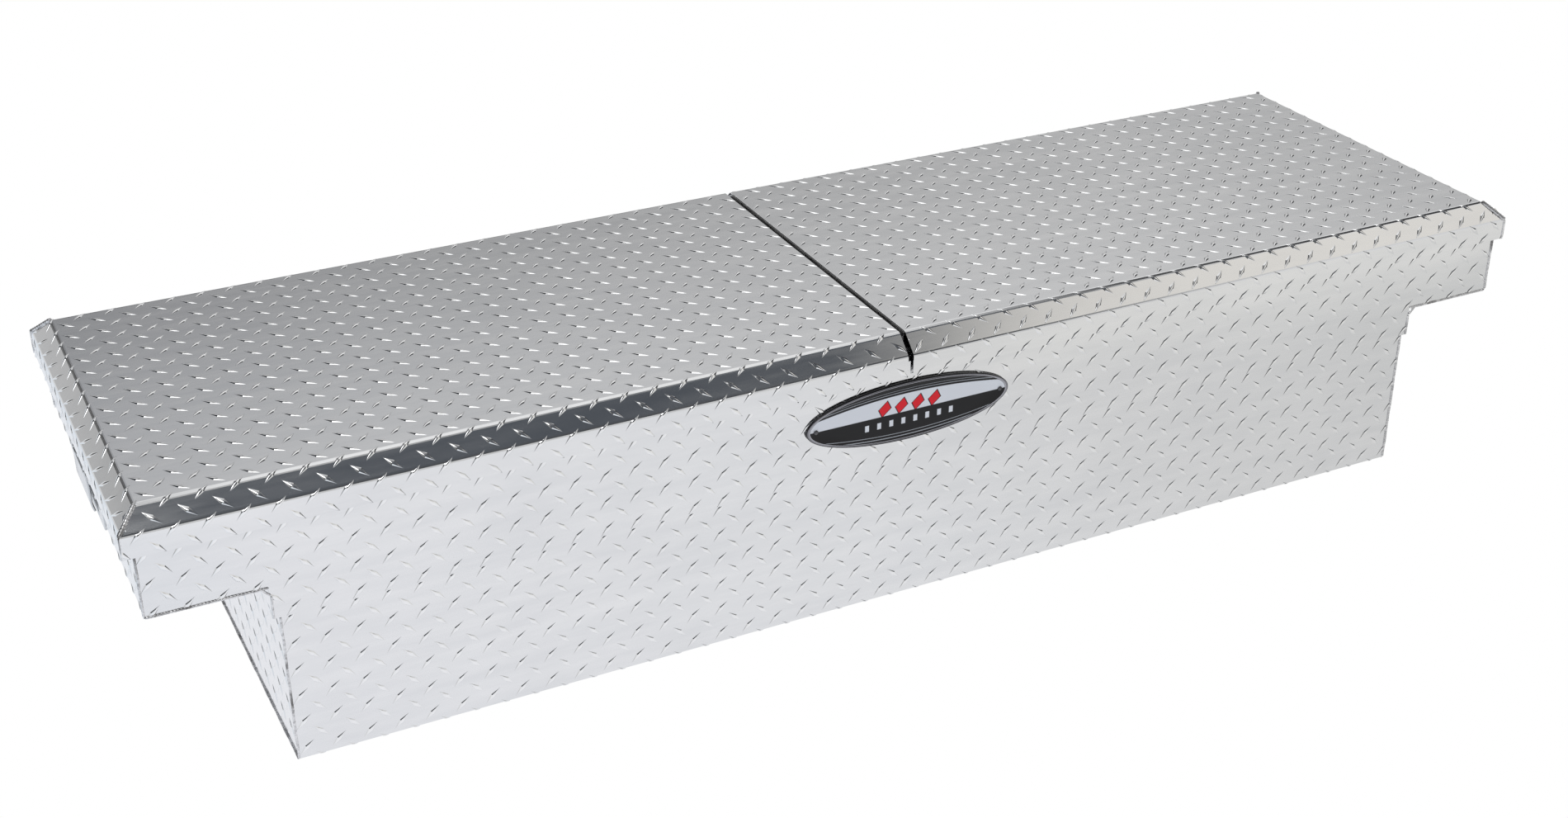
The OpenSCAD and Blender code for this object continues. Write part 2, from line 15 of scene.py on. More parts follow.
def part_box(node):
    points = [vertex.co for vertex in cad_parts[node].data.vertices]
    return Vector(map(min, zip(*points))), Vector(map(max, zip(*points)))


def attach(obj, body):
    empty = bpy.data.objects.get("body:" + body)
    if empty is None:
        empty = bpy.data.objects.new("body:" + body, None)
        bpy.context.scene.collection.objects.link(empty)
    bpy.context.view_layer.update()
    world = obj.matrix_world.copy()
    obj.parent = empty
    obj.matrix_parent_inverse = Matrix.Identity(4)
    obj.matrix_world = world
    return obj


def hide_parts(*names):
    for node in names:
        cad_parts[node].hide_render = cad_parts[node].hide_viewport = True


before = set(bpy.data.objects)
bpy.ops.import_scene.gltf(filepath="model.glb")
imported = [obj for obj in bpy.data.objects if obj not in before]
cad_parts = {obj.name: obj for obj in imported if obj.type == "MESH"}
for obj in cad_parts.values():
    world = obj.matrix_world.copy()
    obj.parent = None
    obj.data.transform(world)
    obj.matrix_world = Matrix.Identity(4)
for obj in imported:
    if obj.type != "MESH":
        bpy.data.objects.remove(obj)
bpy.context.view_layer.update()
MM = 0.001
LEFT_RIGHT = (("left", -1), ("right", 1))


def span(node):
    """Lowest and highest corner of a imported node, in millimetres."""
    low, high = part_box(node)
    return np.array(low) / MM, np.array(high) / MM


# ---- Camera ----
# Stands to the left of the box's front, about three metres from its middle, and looks
# down on the lids through a slightly long lens.
def new_object(name, data):
    """Puts a camera, a lamp or a mesh into the scene as an object of its own."""
    made = bpy.data.objects.new(name, data)
    bpy.context.scene.collection.objects.link(made)
    return made


azimuth, elevation, roll = np.radians((-26.501, 27.964, -0.054))
view_target = Vector((121.4, 312.4, -44.3)) * MM
view_distance = 3.1148

camera = new_object("camera", bpy.data.cameras.new("camera"))
backwards = Vector((math.sin(azimuth) * math.cos(elevation), -math.cos(azimuth) * math.cos(elevation),
                    math.sin(elevation)))
camera.location = view_target + backwards * view_distance
aim = backwards.to_track_quat("Z", "Y").to_matrix().to_4x4() @ Matrix.Rotation(roll, 4, "Z")
camera.rotation_euler = aim.to_euler()
camera.data.lens, camera.data.sensor_width, camera.data.clip_end = 48.87, 36, 60
bpy.context.scene.camera = camera


# ---- Studio ----
# A white sweep under a tent: light walls, a dark ceiling over the front left and a grey
# band behind the box, which is what the bright sheet mirrors. Seen directly it's all white.
def node_tree(owner):
    """An empty node tree for a material or the world."""
    owner.use_nodes = True
    owner.node_tree.nodes.clear()
    return owner.node_tree


def new_material(name):
    """A material and its empty node tree."""
    material = bpy.data.materials.new(name)
    return material, node_tree(material)


def add(tree, kind, **values):
    """Adds one shader node. Values named in_N go to the sockets, the others to the node."""
    node = tree.nodes.new("ShaderNode" + kind)
    for key, value in values.items():
        if key.startswith("in_"):
            name = key[3:]
            socket = node.inputs[int(name)] if name.isdigit() else node.inputs[name.replace("_", " ")]
            if isinstance(value, bpy.types.NodeSocket):
                tree.links.new(value, socket)
            else:
                socket.default_value = value
        else:
            setattr(node, key, value)
    return node


def ramp(tree, factor, stops):
    """Colour ramp from (place, grey or colour) stops."""
    node = add(tree, "ValToRGB", in_0=factor)
    marks = node.color_ramp.elements
    while len(marks) < len(stops):
        marks.new(0.5)
    for mark, (place, shade) in zip(marks, stops):
        mark.position = place
        mark.color = (*shade, 1) if hasattr(shade, "__len__") else (shade, shade, shade, 1)
    return node.outputs[0]


def mix(tree, factor, a, b):
    """Mixes colour a with colour b by the factor."""
    return add(tree, "Mix", data_type="RGBA", in_0=factor, in_6=a, in_7=b).outputs[2]


def maths(tree, kind, a, b=0.0, c=0.0):
    """One arithmetic step."""
    return add(tree, "Math", operation=kind, in_0=a, in_1=b, in_2=c).outputs[0]


def product(tree, *values):
    """All the values multiplied together."""
    result = values[0]
    for value in values[1:]:
        result = maths(tree, "MULTIPLY", result, value)
    return result


def step(tree, value, low, high, start=0.0, end=1.0):
    """start at low, end at high, and an even slope between."""
    return add(tree, "MapRange", in_0=value, in_1=low, in_2=high, in_3=start, in_4=end).outputs[0]


def output(tree, shader, kind="Material"):
    """Sends a shader to the output of its material or world."""
    tree.links.new(shader.outputs[0], add(tree, "Output" + kind).inputs[0])


def white_when_seen(tree, kind, colour, strength):
    """Gives the bright sheet a colour to mirror, and the camera plain white."""
    mirrored = add(tree, kind, in_Color=colour, in_Strength=strength)
    plain = add(tree, kind, in_Color=(1, 1, 1, 1), in_Strength=1.0)
    return add(tree, "MixShader", in_0=add(tree, "LightPath").outputs["Is Camera Ray"],
               in_1=mirrored.outputs[0], in_2=plain.outputs[0])


world = bpy.data.worlds.new("tent")
bpy.context.scene.world = world
tent = node_tree(world)
direction = add(tent, "TexCoord").outputs["Generated"]
east, north, up = add(tent, "SeparateXYZ", in_0=direction).outputs


def patch(place, inner, outer):
    """1 within the angle inner of a direction, falling to 0 at the angle outer, in degrees."""
    along = add(tent, "VectorMath", operation="DOT_PRODUCT", in_0=direction,
                in_1=Vector(place).normalized()).outputs["Value"]
    return step(tent, along, math.cos(math.radians(outer)), math.cos(math.radians(inner)))


def panel(*edges):
    """1 inside a panel of the tent, whose edges are (coordinate, outside, inside)."""
    return product(tent, *(step(tent, *edge) for edge in edges))


rear_left = ramp(tent, up, [(0.0, 0.80), (0.08, 0.70), (0.20, 0.10), (0.36, 0.12),
                            (0.45, (0.405, 0.412, 0.432)), (0.58, 0.85), (0.75, 1.0)])
rear_right = ramp(tent, up, [(0.0, 0.85), (0.12, 0.62), (0.24, 0.44), (0.31, 0.50), (0.38, 0.59),
                             (0.48, 0.84), (0.62, 0.95)])
walls = mix(tent, step(tent, east, 0.05, 0.55), rear_left, rear_right)
front_left = ramp(tent, up, [(0.0, 0.95), (0.10, 0.60), (0.20, 0.08), (0.88, (0.092, 0.102, 0.118)),
                             (0.95, 0.50)])
front_right = ramp(tent, up, [(0.0, 0.90), (0.20, 0.70), (0.36, 0.80), (0.80, 0.90)])
front_half = mix(tent, step(tent, east, 0.50, 0.60), front_left, front_right)
walls = mix(tent, step(tent, north, 0.10, -0.16), walls, front_half)
slant = maths(tent, "MULTIPLY_ADD", east, 0.43, north)
for mask, shade in (
        (patch((0.66, -0.42, 0.63), 11, 16.5), (0.86, 0.835, 0.79)),
        (patch((0.95, -0.25, 0.12), 14, 28), (0.08, 0.085, 0.09)),
        # black flags above the rear edge, to the right and above the lids
        (panel((north, 0.05, 0.09), (north, 0.78, 0.68), (east, 0.14, 0.04), (up, 0.25, 0.40)),
         (0.035, 0.04, 0.046)),
        (panel((north, -0.14, -0.08), (north, 0.52, 0.42), (east, 0.42, 0.54)), (0.055, 0.056, 0.06)),
        (panel((slant, -0.16, -0.09), (north, 0.50, 0.40), (east, 0.06, -0.06), (up, 0.66, 0.74)),
         (0.045, 0.047, 0.052)),
        # softbox above the front
        (panel((north, -0.44, -0.36), (slant, -0.12, -0.18), (east, -0.64, -0.56), (east, 0.10, 0.0),
               (up, 0.6, 0.7)), (2.4, 2.4, 2.4))):
    walls = mix(tent, mask, walls, (*shade, 1))
output(tent, white_when_seen(tent, "Background", walls, 0.95), "World")

lamp = bpy.data.lights.new("key_softbox", "AREA")
lamp.shape, lamp.size, lamp.energy, lamp.color = "SQUARE", 1.2, 25, (1, 0.99, 0.97)
key = new_object("key_softbox", lamp)
key.location = (-1.4, -3.0, 4.2)
key.rotation_euler = (key.location - Vector((0, 0, 0.2))).to_track_quat("Z", "Y").to_euler()
key.visible_camera = False

floor_half, floor_z = 14.0, -0.001
floor_mesh = bpy.data.meshes.new("floor")
floor_mesh.from_pydata([(x * floor_half, y * floor_half, floor_z)
                        for x, y in ((-1, -1), (1, -1), (1, 1), (-1, 1))], [], [(0, 1, 2, 3)])
new_object("floor", floor_mesh)
paper, tree = new_material("white_paper")
place = add(tree, "TexCoord").outputs["Object"]
east, north, _ = add(tree, "SeparateXYZ", in_0=place).outputs
fibre = add(tree, "TexNoise", in_Scale=9.0, in_Detail=3.0, in_Vector=place).outputs[0]
along = maths(tree, "MULTIPLY_ADD", fibre, 0.03, maths(tree, "MULTIPLY_ADD", east, 0.25, 0.5))
shade = ramp(tree, along, [(0.20, (0.80, 0.85, 0.91)), (0.34, (0.870, 0.875, 0.905)),
                           (0.53, (0.82, 0.825, 0.84)), (0.63, 0.73), (0.73, (0.69, 0.69, 0.685)),
                           (0.80, (0.655, 0.658, 0.65))])
far_right = product(tree, step(tree, north, -0.62, -0.78), step(tree, along, 0.56, 0.66))
shade = mix(tree, far_right, shade, (0.80, 0.795, 0.775, 1))
output(tree, white_when_seen(tree, "Emission", shade, 1.0))
floor_mesh.materials.append(paper)
bpy.context.scene.view_settings.view_transform = "Standard"
bpy.context.scene.cycles.use_denoising = True


# ---- Tread plate ----
# Bright rolled aluminium sheet with raised almond-shaped lugs, two directions in turn.
# Every folded panel below is cut from it flat and then bent round its corners.
pitch = np.array([35.3, 33.4])      # from lug to lug of one direction, along and across
lug_half_width = 3.1
lug_height = 1.2                    # the lugs' tops are level with the part's faces
sheet = 1.6
back = -2.0                         # underside of the sheet, below the lugs' tops
bend_inside = 1.4


def lug_tile():
    """One lug in its diamond of ground: points (u, v, rise), triangles, and which are the
    lug's rounded top. The half width is w (1 - |s|) and the rise h min(1, 1.2 (1 - |s|))
    times the cross-section, for s from -1 to 1 between the lug's points."""
    along = np.array([-0.5, 0, 0.5])
    across = np.array([-1, -0.62, 0, 0.62, 1])
    crown = np.array([0, 0.70, 1, 0.70, 0])
    tip = pitch / 4
    length = np.hypot(*tip)
    forward = tip / length
    sideways = np.array([-forward[1], forward[0]])
    taper = 1 - np.abs(along)
    flat = (length * along[:, None, None] * forward
            + lug_half_width * taper[:, None, None] * across[None, :, None] * sideways)
    rise = lug_height * np.minimum(1, 1.2 * taper)[:, None] * crown
    body = np.concatenate([flat, rise[:, :, None]], axis=2).reshape(-1, 3)
    px, py = pitch / 2
    rim = [(*-tip, 0), (*tip, 0), (px, 0, 0), (0, py, 0), (-px, 0, 0), (0, -py, 0),
           (-px / 2, py / 2, 0), (px / 2, -py / 2, 0)]
    points = np.vstack([body, rim])
    grid = np.arange(len(body)).reshape(3, 5)
    tail, nose, right, top, left, bottom, top_left, bottom_right = len(body) + np.arange(8)
    a, b, c, d = grid[:-1, :-1], grid[1:, :-1], grid[1:, 1:], grid[:-1, 1:]
    quads = np.stack([a, b, c, a, c, d], axis=-1).reshape(-1, 3)
    fans = [(tail, grid[0, j], grid[0, j + 1]) for j in range(4)]
    fans += [(nose, grid[2, j + 1], grid[2, j]) for j in range(4)]
    o = grid[:, 4]
    side = np.array([(tail, o[0], left), (left, o[0], top_left), (top_left, o[0], o[1]),
                     (top_left, o[1], top), (top, o[1], o[2]), (top, o[2], nose)])
    half_turn = np.arange(len(points))
    half_turn[grid] = grid[::-1, ::-1]
    half_turn[[tail, nose, left, right, top, bottom]] = [nose, tail, right, left, bottom, top]
    half_turn[[top_left, bottom_right]] = [bottom_right, top_left]
    triangles = np.vstack([quads, fans, side, half_turn[side]])
    a, b, c = points[triangles].transpose(1, 0, 2)
    normals = np.cross(b - a, c - a)
    level = normals[:, 2] > 0.9 * np.linalg.norm(normals, axis=1)
    return points, triangles, level & (points[triangles, 2].sum(1) > 0)


def tread_field(low, high, phase):
    """A flat field of tread plate over the rectangle from low to high, with a rising lug
    at phase: the tile repeated on the lattice, and its mirror image half a pitch away."""
    points, triangles, lug = lug_tile()
    first = np.floor((np.array(low) - phase) / pitch) - 1
    count = (np.ceil((np.array(high) - phase) / pitch) + 1 - first).astype(int) + 1
    steps = np.stack(np.meshgrid(np.arange(count[0]), np.arange(count[1]), indexing="ij"), -1)
    centres = np.array(phase) + pitch * (first + steps.reshape(-1, 2))
    parts, faces = [], []
    for tile, order, shift in ((points, triangles, 0.0), (points * (-1, 1, 1), triangles[:, ::-1], 0.5)):
        at = np.pad(centres + shift * pitch, ((0, 0), (0, 1)))
        faces.append((order[None] + (len(tile) * np.arange(len(at)))[:, None, None]
                      + sum(len(p) for p in parts)).reshape(-1, 3))
        parts.append((tile[None] + at[:, None]).reshape(-1, 3))
    points, triangles = np.vstack(parts), np.vstack(faces)
    keys = np.round(points[:, :2] * 1000).astype(np.int64)
    _, kept, place = np.unique(keys[:, 0] * 10**8 + keys[:, 1], return_index=True, return_inverse=True)
    field = points[kept], place.ravel()[triangles], np.tile(lug, len(triangles) // len(lug))
    for axis in (0, 1):
        field = cut(field, axis, low[axis], high[axis])
    return keep(field, lambda u, v: (u > low[0]) & (u < high[0]) & (v > low[1]) & (v < high[1]))


def cut(field, axis, *places):
    """Splits the triangles along each line where the coordinate equals a place. With a pair
    as axis, the lines are axis . (u, v) = place."""
    for place in places:
        field = split(field, axis, place)
    return field


def split(field, axis, place):
    """Splits the triangles along one line. New points lie between the ends of an edge in
    proportion to their distances from it."""
    points, triangles, lug = field
    line = np.eye(2)[axis] if np.ndim(axis) == 0 else np.array(axis, float)
    away = points[:, :2] @ line - place
    away[np.abs(away) < 1e-4] = 0
    side = np.sign(away).astype(int)[triangles]
    crossed = (side.min(1) < 0) & (side.max(1) > 0)
    if not crossed.any():
        return field
    side = side[crossed]
    odd = np.argmax(side == -side.sum(1)[:, None], axis=1)
    turn = (odd[:, None] + np.arange(3)) % 3
    p, q, r = np.take_along_axis(triangles[crossed], turn, 1).T
    through = side[np.arange(len(odd)), odd] == 0
    ends = np.sort(np.vstack([np.column_stack([q, r])[through], np.column_stack([p, q])[~through],
                              np.column_stack([p, r])[~through]]), axis=1)
    pairs, place_of = np.unique(ends, axis=0, return_inverse=True)
    share = (away[pairs[:, 0]] / (away[pairs[:, 0]] - away[pairs[:, 1]]))[:, None]
    fresh = points[pairs[:, 0]] * (1 - share) + points[pairs[:, 1]] * share
    new = place_of.ravel() + len(points)
    n, k = through.sum(), (~through).sum()
    m, m1, m2 = np.split(new, [n, n + k])
    (pt, ps), (qt, qs), (rt, rs) = ((corner[through], corner[~through]) for corner in (p, q, r))
    pieces = [(pt, qt, m), (pt, m, rt), (ps, m1, m2), (m1, qs, rs), (m1, rs, m2)]
    flags = lug[crossed]
    return (np.vstack([points, fresh]),
            np.vstack([triangles[~crossed]] + [np.column_stack(t) for t in pieces]),
            np.concatenate([lug[~crossed]] + 2 * [flags[through]] + 3 * [flags[~through]]))


def keep(field, inside):
    """Drops the triangles whose middle isn't inside, and the points that nothing uses."""
    points, triangles, lug = field
    middle = points[triangles].mean(1)
    stays = inside(middle[:, 0], middle[:, 1])
    triangles, lug = triangles[stays], lug[stays]
    used, place = np.unique(triangles, return_inverse=True)
    return points[used], place.reshape(-1, 3), lug


def fold_table(corners, inside=bend_inside, flats=4):
    """A section's outer line, developed: at each end of each flat and each step of each bend,
    the length from the start, the place and the outward normal, to the left of the line.
    A bend of turn w leaves the line r tan(w / 2) before its corner; r is the inside radius,
    plus the sheet where the bend is convex."""
    corners = np.array(corners, float)
    runs = np.diff(corners, axis=0)
    forward = runs / np.linalg.norm(runs, axis=1)[:, None]
    outward = np.column_stack([-forward[:, 1], forward[:, 0]])
    places, normals = [corners[0]], [outward[0]]
    lengths = [0.0]
    for i in range(1, len(corners) - 1):
        turn = math.atan2(np.cross(forward[i - 1], forward[i]), forward[i - 1] @ forward[i])
        side = 1 if turn < 0 else -1
        radius = inside + (sheet if turn < 0 else 0)
        start = corners[i] - forward[i - 1] * radius * math.tan(abs(turn) / 2)
        centre = start - side * radius * outward[i - 1]
        lengths.append(lengths[-1] + np.linalg.norm(start - places[-1]))
        for k in range(flats + 1):
            w = turn * k / flats
            spun = np.array([[math.cos(w), -math.sin(w)], [math.sin(w), math.cos(w)]]) @ outward[i - 1]
            if k:
                lengths.append(lengths[-1] + radius * abs(turn) / flats)
            places.append(centre + side * radius * spun)
            normals.append(spun)
    lengths.append(lengths[-1] + np.linalg.norm(corners[-1] - places[-1]))
    return np.array(lengths), np.vstack(places + [corners[-1]]), np.vstack(normals + [outward[-1]])


def developed(table, coordinate, value, near):
    """Length along the section where a coordinate (0 or 1) has this value, on the flat that
    holds the length near."""
    lengths, places, _ = table
    i = np.searchsorted(lengths, near)
    a, b = places[i - 1, coordinate], places[i, coordinate]
    return lengths[i - 1] + (value - a) / (b - a) * (lengths[i] - lengths[i - 1])


def folded(points, table, direction):
    """Carries flat points (u, v, rise) round the section: v is the length along it, and the
    rise goes along the normal there. A panel along x has u as X, and an end panel has u as -Y."""
    lengths, places, normals = table
    at = [np.interp(points[:, 1], lengths, places[:, k])
          + points[:, 2] * np.interp(points[:, 1], lengths, normals[:, k]) for k in (0, 1)]
    if direction == "x":
        return np.column_stack([points[:, 0], at[0], at[1]])
    return np.column_stack([at[0], -points[:, 0], at[1]])


def sheet_metal(field, table, direction, lower=0.0):
    """Gives the flat field its thickness and folds it: the lugs stand on the ground, walls
    close the edges, and a plain back is filled in between them and bent with the front.
    Returns points, triangles, smooth flags and the share of the lugs' rise at each point."""
    points, triangles, lug = field
    edges = np.vstack([triangles[:, [0, 1]], triangles[:, [1, 2]], triangles[:, [2, 0]]])
    _, first, count = np.unique(np.sort(edges, axis=1), axis=0, return_index=True, return_counts=True)
    border = edges[first[count == 1]]
    used, place = np.unique(border, return_inverse=True)
    place = place.reshape(-1, 2)
    outline = bpy.data.meshes.new("outline")
    flat = np.column_stack([points[used, :2], np.zeros(len(used))])
    outline.from_pydata(flat.tolist(), place.tolist(), [])
    filled = bmesh.new()
    filled.from_mesh(outline)
    bmesh.ops.triangle_fill(filled, edges=filled.edges[:], use_beauty=True)
    filled.to_mesh(outline)
    filled.free()
    corners = np.empty(len(outline.polygons) * 3, np.int32)
    outline.polygons.foreach_get("vertices", corners)
    bpy.data.meshes.remove(outline)
    corners = corners.reshape(-1, 3)
    a, b, c = flat[corners, :2].transpose(1, 0, 2)
    faces_down = np.cross(b - a, c - a) < 0
    corners = np.where(faces_down[:, None], corners, corners[:, ::-1])
    flat[:, 2] = back - lower
    plain = flat, corners, np.zeros(len(corners), bool)
    plain = cut(plain, 1, *table[0][1:-1])
    under = len(points) + place
    walls = np.vstack([np.column_stack([border[:, 0], under[:, 0], under[:, 1]]),
                       np.column_stack([border[:, 0], under[:, 1], border[:, 1]])])
    share = np.concatenate([points[:, 2] / lug_height, np.zeros(len(plain[0]))])
    front = points + (0, 0, -lug_height - lower)
    all_points = folded(np.vstack([front, plain[0]]), table, direction)
    all_triangles = np.vstack([triangles, plain[1] + len(points), walls])
    smooth = np.concatenate([lug, np.zeros(len(plain[1]) + len(walls), bool)])
    return all_points, all_triangles, smooth, share


def flat_cut(low, high, table, phase):
    """A field for a section, cut where its bends start, step and end."""
    return cut(tread_field((low, table[0][0]), (high, table[0][-1]), phase), 1, *table[0][1:-1])


def mirrored_x(piece):
    """The same piece on the other side of the box."""
    points, triangles, *rest = piece
    return points * (-1, 1, 1), triangles[:, ::-1], *rest


def joined(*pieces):
    """Several pieces' points, triangles, smooth flags and shares as one."""
    points, triangles, smooth, share = zip(*pieces)
    offsets = np.cumsum([0] + [len(p) for p in points[:-1]])
    return (np.vstack(points), np.vstack([t + o for t, o in zip(triangles, offsets)]),
            np.concatenate(smooth), np.concatenate(share))


def place_piece(name, piece, body, slot, material, *stands_for):
    """Puts a piece's arrays, in millimetres, into a mesh object that rides on a body."""
    points, triangles, smooth, share = piece
    mesh = bpy.data.meshes.new(name)
    mesh.from_pydata((points * MM).tolist(), [], triangles.tolist())
    mesh.polygons.foreach_set("use_smooth", smooth)
    mesh.attributes.new("proud", "FLOAT", "POINT").data.foreach_set("value", share.astype(np.float32))
    mesh.materials.append(material)
    shown = new_object(name, mesh)
    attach(shown, body)
    if stands_for:
        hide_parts(*stands_for)


def place_pair(name, piece, body, slot, material, node):
    """Places a left piece, and its mirror image on the right. An asterisk stands for the side."""
    for side, one in (("left", piece), ("right", mirrored_x(piece))):
        place_piece(f"{side}_{name}", one, body.replace("*", side), slot, material, f"{side}_{node}")


def variation_group():
    """Slow and fine changes of a rolled or brushed surface, from two noises: one wide and
    cloudy, one drawn out along the rolling direction. Gives a cloud, a streak and a height."""
    group = bpy.data.node_groups.new("mill_variation", "ShaderNodeTree")
    for label, way, kind in (("Vector", "INPUT", "Vector"), ("Cloud Scale", "INPUT", "Float"),
                             ("Streak Scale", "INPUT", "Float"), ("Stretch", "INPUT", "Float"),
                             ("Cloud", "OUTPUT", "Float"), ("Streak", "OUTPUT", "Float"),
                             ("Height", "OUTPUT", "Float")):
        group.interface.new_socket(label, in_out=way, socket_type="NodeSocket" + kind)
    place, cloud_scale, streak_scale, stretch = group.nodes.new("NodeGroupInput").outputs[:4]
    leave = group.nodes.new("NodeGroupOutput")
    cloud = add(group, "TexNoise", in_Vector=place, in_Scale=cloud_scale, in_Detail=4.0,
                in_Roughness=0.6).outputs[0]
    x, y, z = add(group, "SeparateXYZ", in_0=place).outputs
    drawn = add(group, "CombineXYZ", in_0=maths(group, "DIVIDE", x, stretch), in_1=y, in_2=z)
    streak = add(group, "TexNoise", in_Vector=drawn.outputs[0], in_Scale=streak_scale,
                 in_Detail=3.0, in_Roughness=0.65).outputs[0]
    height = maths(group, "MULTIPLY_ADD", cloud, 0.3, maths(group, "MULTIPLY", streak, 0.7))
    for value, socket in zip((cloud, streak, height), leave.inputs):
        group.links.new(value, socket)
    return group


mill = variation_group()


def varied(tree, cloud_scale, streak_scale, stretch):
    """Places the mill variation in a material, on Object coordinates."""
    place = add(tree, "TexCoord").outputs["Object"]
    return add(tree, "Group", node_tree=mill, in_0=place, in_1=cloud_scale,
               in_2=streak_scale, in_3=stretch).outputs


def surface(tree, colour, rough, height, strength, distance, **more):
    """Ends a material with a bump over the height and the shader."""
    bump = add(tree, "Bump", in_Strength=strength, in_Distance=distance, in_Height=height)
    output(tree, add(tree, "BsdfPrincipled", in_Base_Color=colour, in_Roughness=rough,
                     in_Normal=bump.outputs[0], **more))


def tread_material():
    """Bright aluminium: the lugs a little smoother than the ground and painted lighter, a painted highlight,
    with streaks and grey clouds over the sheet.
    """
    material, tree = new_material("bright_tread_plate")
    cloud, streak, height = varied(tree, 9.0, 60.0, 9.0)
    proud = add(tree, "Attribute", attribute_name="proud").outputs["Fac"]
    ground = ramp(tree, streak, [(0.30, (0.800, 0.808, 0.820)), (0.70, (0.870, 0.874, 0.880))])
    # painted highlight: the lugs lighter than the ground by the share of their rise
    colour = mix(tree, step(tree, proud, 0.15, 0.9), ground, (0.93, 0.932, 0.935, 1))
    colour = mix(tree, step(tree, cloud, 0.45, 0.70, 0.0, 0.10), colour, (0.62, 0.63, 0.65, 1))
    rough = maths(tree, "MULTIPLY_ADD", proud, -0.04, step(tree, height, 0.35, 0.65, 0.09, 0.16))
    surface(tree, colour, rough, height, 0.05, 0.0006, in_Metallic=1.0)
    return material


tread = tread_material()


# ---- Lower tub ----
# One long sheet folded into a U: rear wall, floor and front wall. The aprons lap over the
# upper edges of its walls.
tub_x, tub_y, wing_z = span("lower_tub")[1]
tub_table = fold_table([(tub_y, wing_z), (tub_y, 0), (-tub_y, 0), (-tub_y, wing_z)])
front_lug_x, front_lug_z = -30.9, 47.9
front_start = developed(tub_table, 1, front_lug_z, tub_table[0][-1] - 1)
lower_tub = sheet_metal(flat_cut(-tub_x, tub_x, tub_table, (front_lug_x, front_start)), tub_table, "x")
place_piece("lower_tub_sheet", lower_tub, "tub", "tread_plate", tread, "lower_tub")


# ---- Tub ends ----
# Plates that close the U at each end, welded along its edges; the upper edge is turned out
# over the wing's floor.
end_low, end_high = span("left_tub_end")
end_y = end_high[1]
end_table = fold_table([(-tub_x, end_low[2]), (-tub_x, end_high[2]), (end_low[0], end_high[2])])
end_lug = (4.0, 12.0)               # one lug, along Y and up from the foot
tub_end = sheet_metal(flat_cut(-end_y, end_y, end_table, end_lug), end_table, "y")
place_pair("tub_end_sheet", tub_end, "tub", "tread_plate", tread, "tub_end")


# ---- Aprons ----
# Long strips over the whole length, front and rear, cut away under the wings and turned
# inwards along the top as a rim for the weather seal.
apron_low, apron_high = span("front_apron")
end_x, wall_y = apron_high[0], -apron_low[1]
lap_z, rim_z, rim_y = apron_low[2], apron_high[2], span("front_rim")[1][1]
notch_x = 755.0                     # outer faces of the down-flanges beside the rails
apron_table = fold_table([(-wall_y, lap_z), (-wall_y, rim_z), (rim_y, rim_z)])
apron_lug_x, apron_lug_z = -26.2, 227.5
wing_cut = developed(apron_table, 1, wing_z, 1.0)
apron_start = developed(apron_table, 1, apron_lug_z, 1.0)
apron_field = flat_cut(-end_x, end_x, apron_table, (apron_lug_x, apron_start))
apron_field = cut(cut(apron_field, 1, wing_cut), 0, -notch_x, notch_x)
apron_field = keep(apron_field, lambda u, v: (np.abs(u) < notch_x) | (v > wing_cut))
apron = sheet_metal(apron_field, apron_table, "x")
place_piece("front_apron_sheet", apron, "tub", "tread_plate", tread, "front_apron", "front_rim")
rear = apron[0] * (-1, -1, 1), *apron[1:]
place_piece("rear_apron_sheet", rear, "tub", "tread_plate", tread, "rear_apron", "rear_rim")


# ---- Wings ----
# Down-flange, wing floor and end wall folded from one sheet at each end, with a rim turned
# in along the top. The end wall has the opening for the latch's recess, the floor two holes
# for the bolts through the bed rail.
pan_y = span("left_wing_pan")[1][1]
rim_in = end_x - (rim_y + wall_y)
pan_table = fold_table([(-tub_x, lap_z), (-notch_x, lap_z), (-notch_x, wing_z), (-end_x, wing_z),
                        (-end_x, rim_z), (-rim_in, rim_z)])
wing_lug = (9.0, 20.0)              # one lug, along Y and from the down-flange's hem
pan_field = flat_cut(-pan_y, pan_y, pan_table, wing_lug)
wall_middle = pan_table[0][-1] - (rim_y + wall_y) - 30      # a length on the end wall's flat
rim_foot = developed(pan_table, 1, rim_z - 3 * sheet, wall_middle)
rim_half = -rim_y
pan_field = cut(cut(pan_field, 1, rim_foot), 0, -rim_half, rim_half)
pan_field = keep(pan_field, lambda u, v: (np.abs(u) < rim_half) | (v < rim_foot))
dish_low, dish_high = span("left_latch_dish")
latch_z = (dish_low[2] + dish_high[2]) / 2
recess_y, recess_z = 46.5, 26.5     # half sizes of the opening for the recess
opening = [developed(pan_table, 1, latch_z + s * recess_z, wall_middle) for s in (-1, 1)]
for s in (-1, 1):
    pan_field = cut(pan_field, 0, s * recess_y)
    pan_field = cut(pan_field, 1, opening[(s + 1) // 2])
pan_field = keep(pan_field, lambda u, v: ~((np.abs(u) < recess_y) & (v > opening[0]) & (v < opening[1])))
bolt_hole_y, bolt_hole_r, bolt_hole_sides = 150.0, 5.25, 10
bolt_hole_v = developed(pan_table, 0, -(end_x + notch_x) / 2, 100.0)
for s in (-1, 1):
    for w in 2 * math.pi * np.arange(bolt_hole_sides // 2) / bolt_hole_sides:
        out = (math.cos(w), math.sin(w))
        middle = out[0] * s * bolt_hole_y + out[1] * bolt_hole_v
        pan_field = cut(pan_field, out, middle - bolt_hole_r, middle + bolt_hole_r)
pan_field = keep(pan_field, lambda u, v: np.hypot(np.abs(u) - bolt_hole_y, v - bolt_hole_v) > bolt_hole_r)
wing = sheet_metal(pan_field, pan_table, "y")
place_pair("wing_sheet", wing, "tub", "tread_plate", tread, "wing_pan")


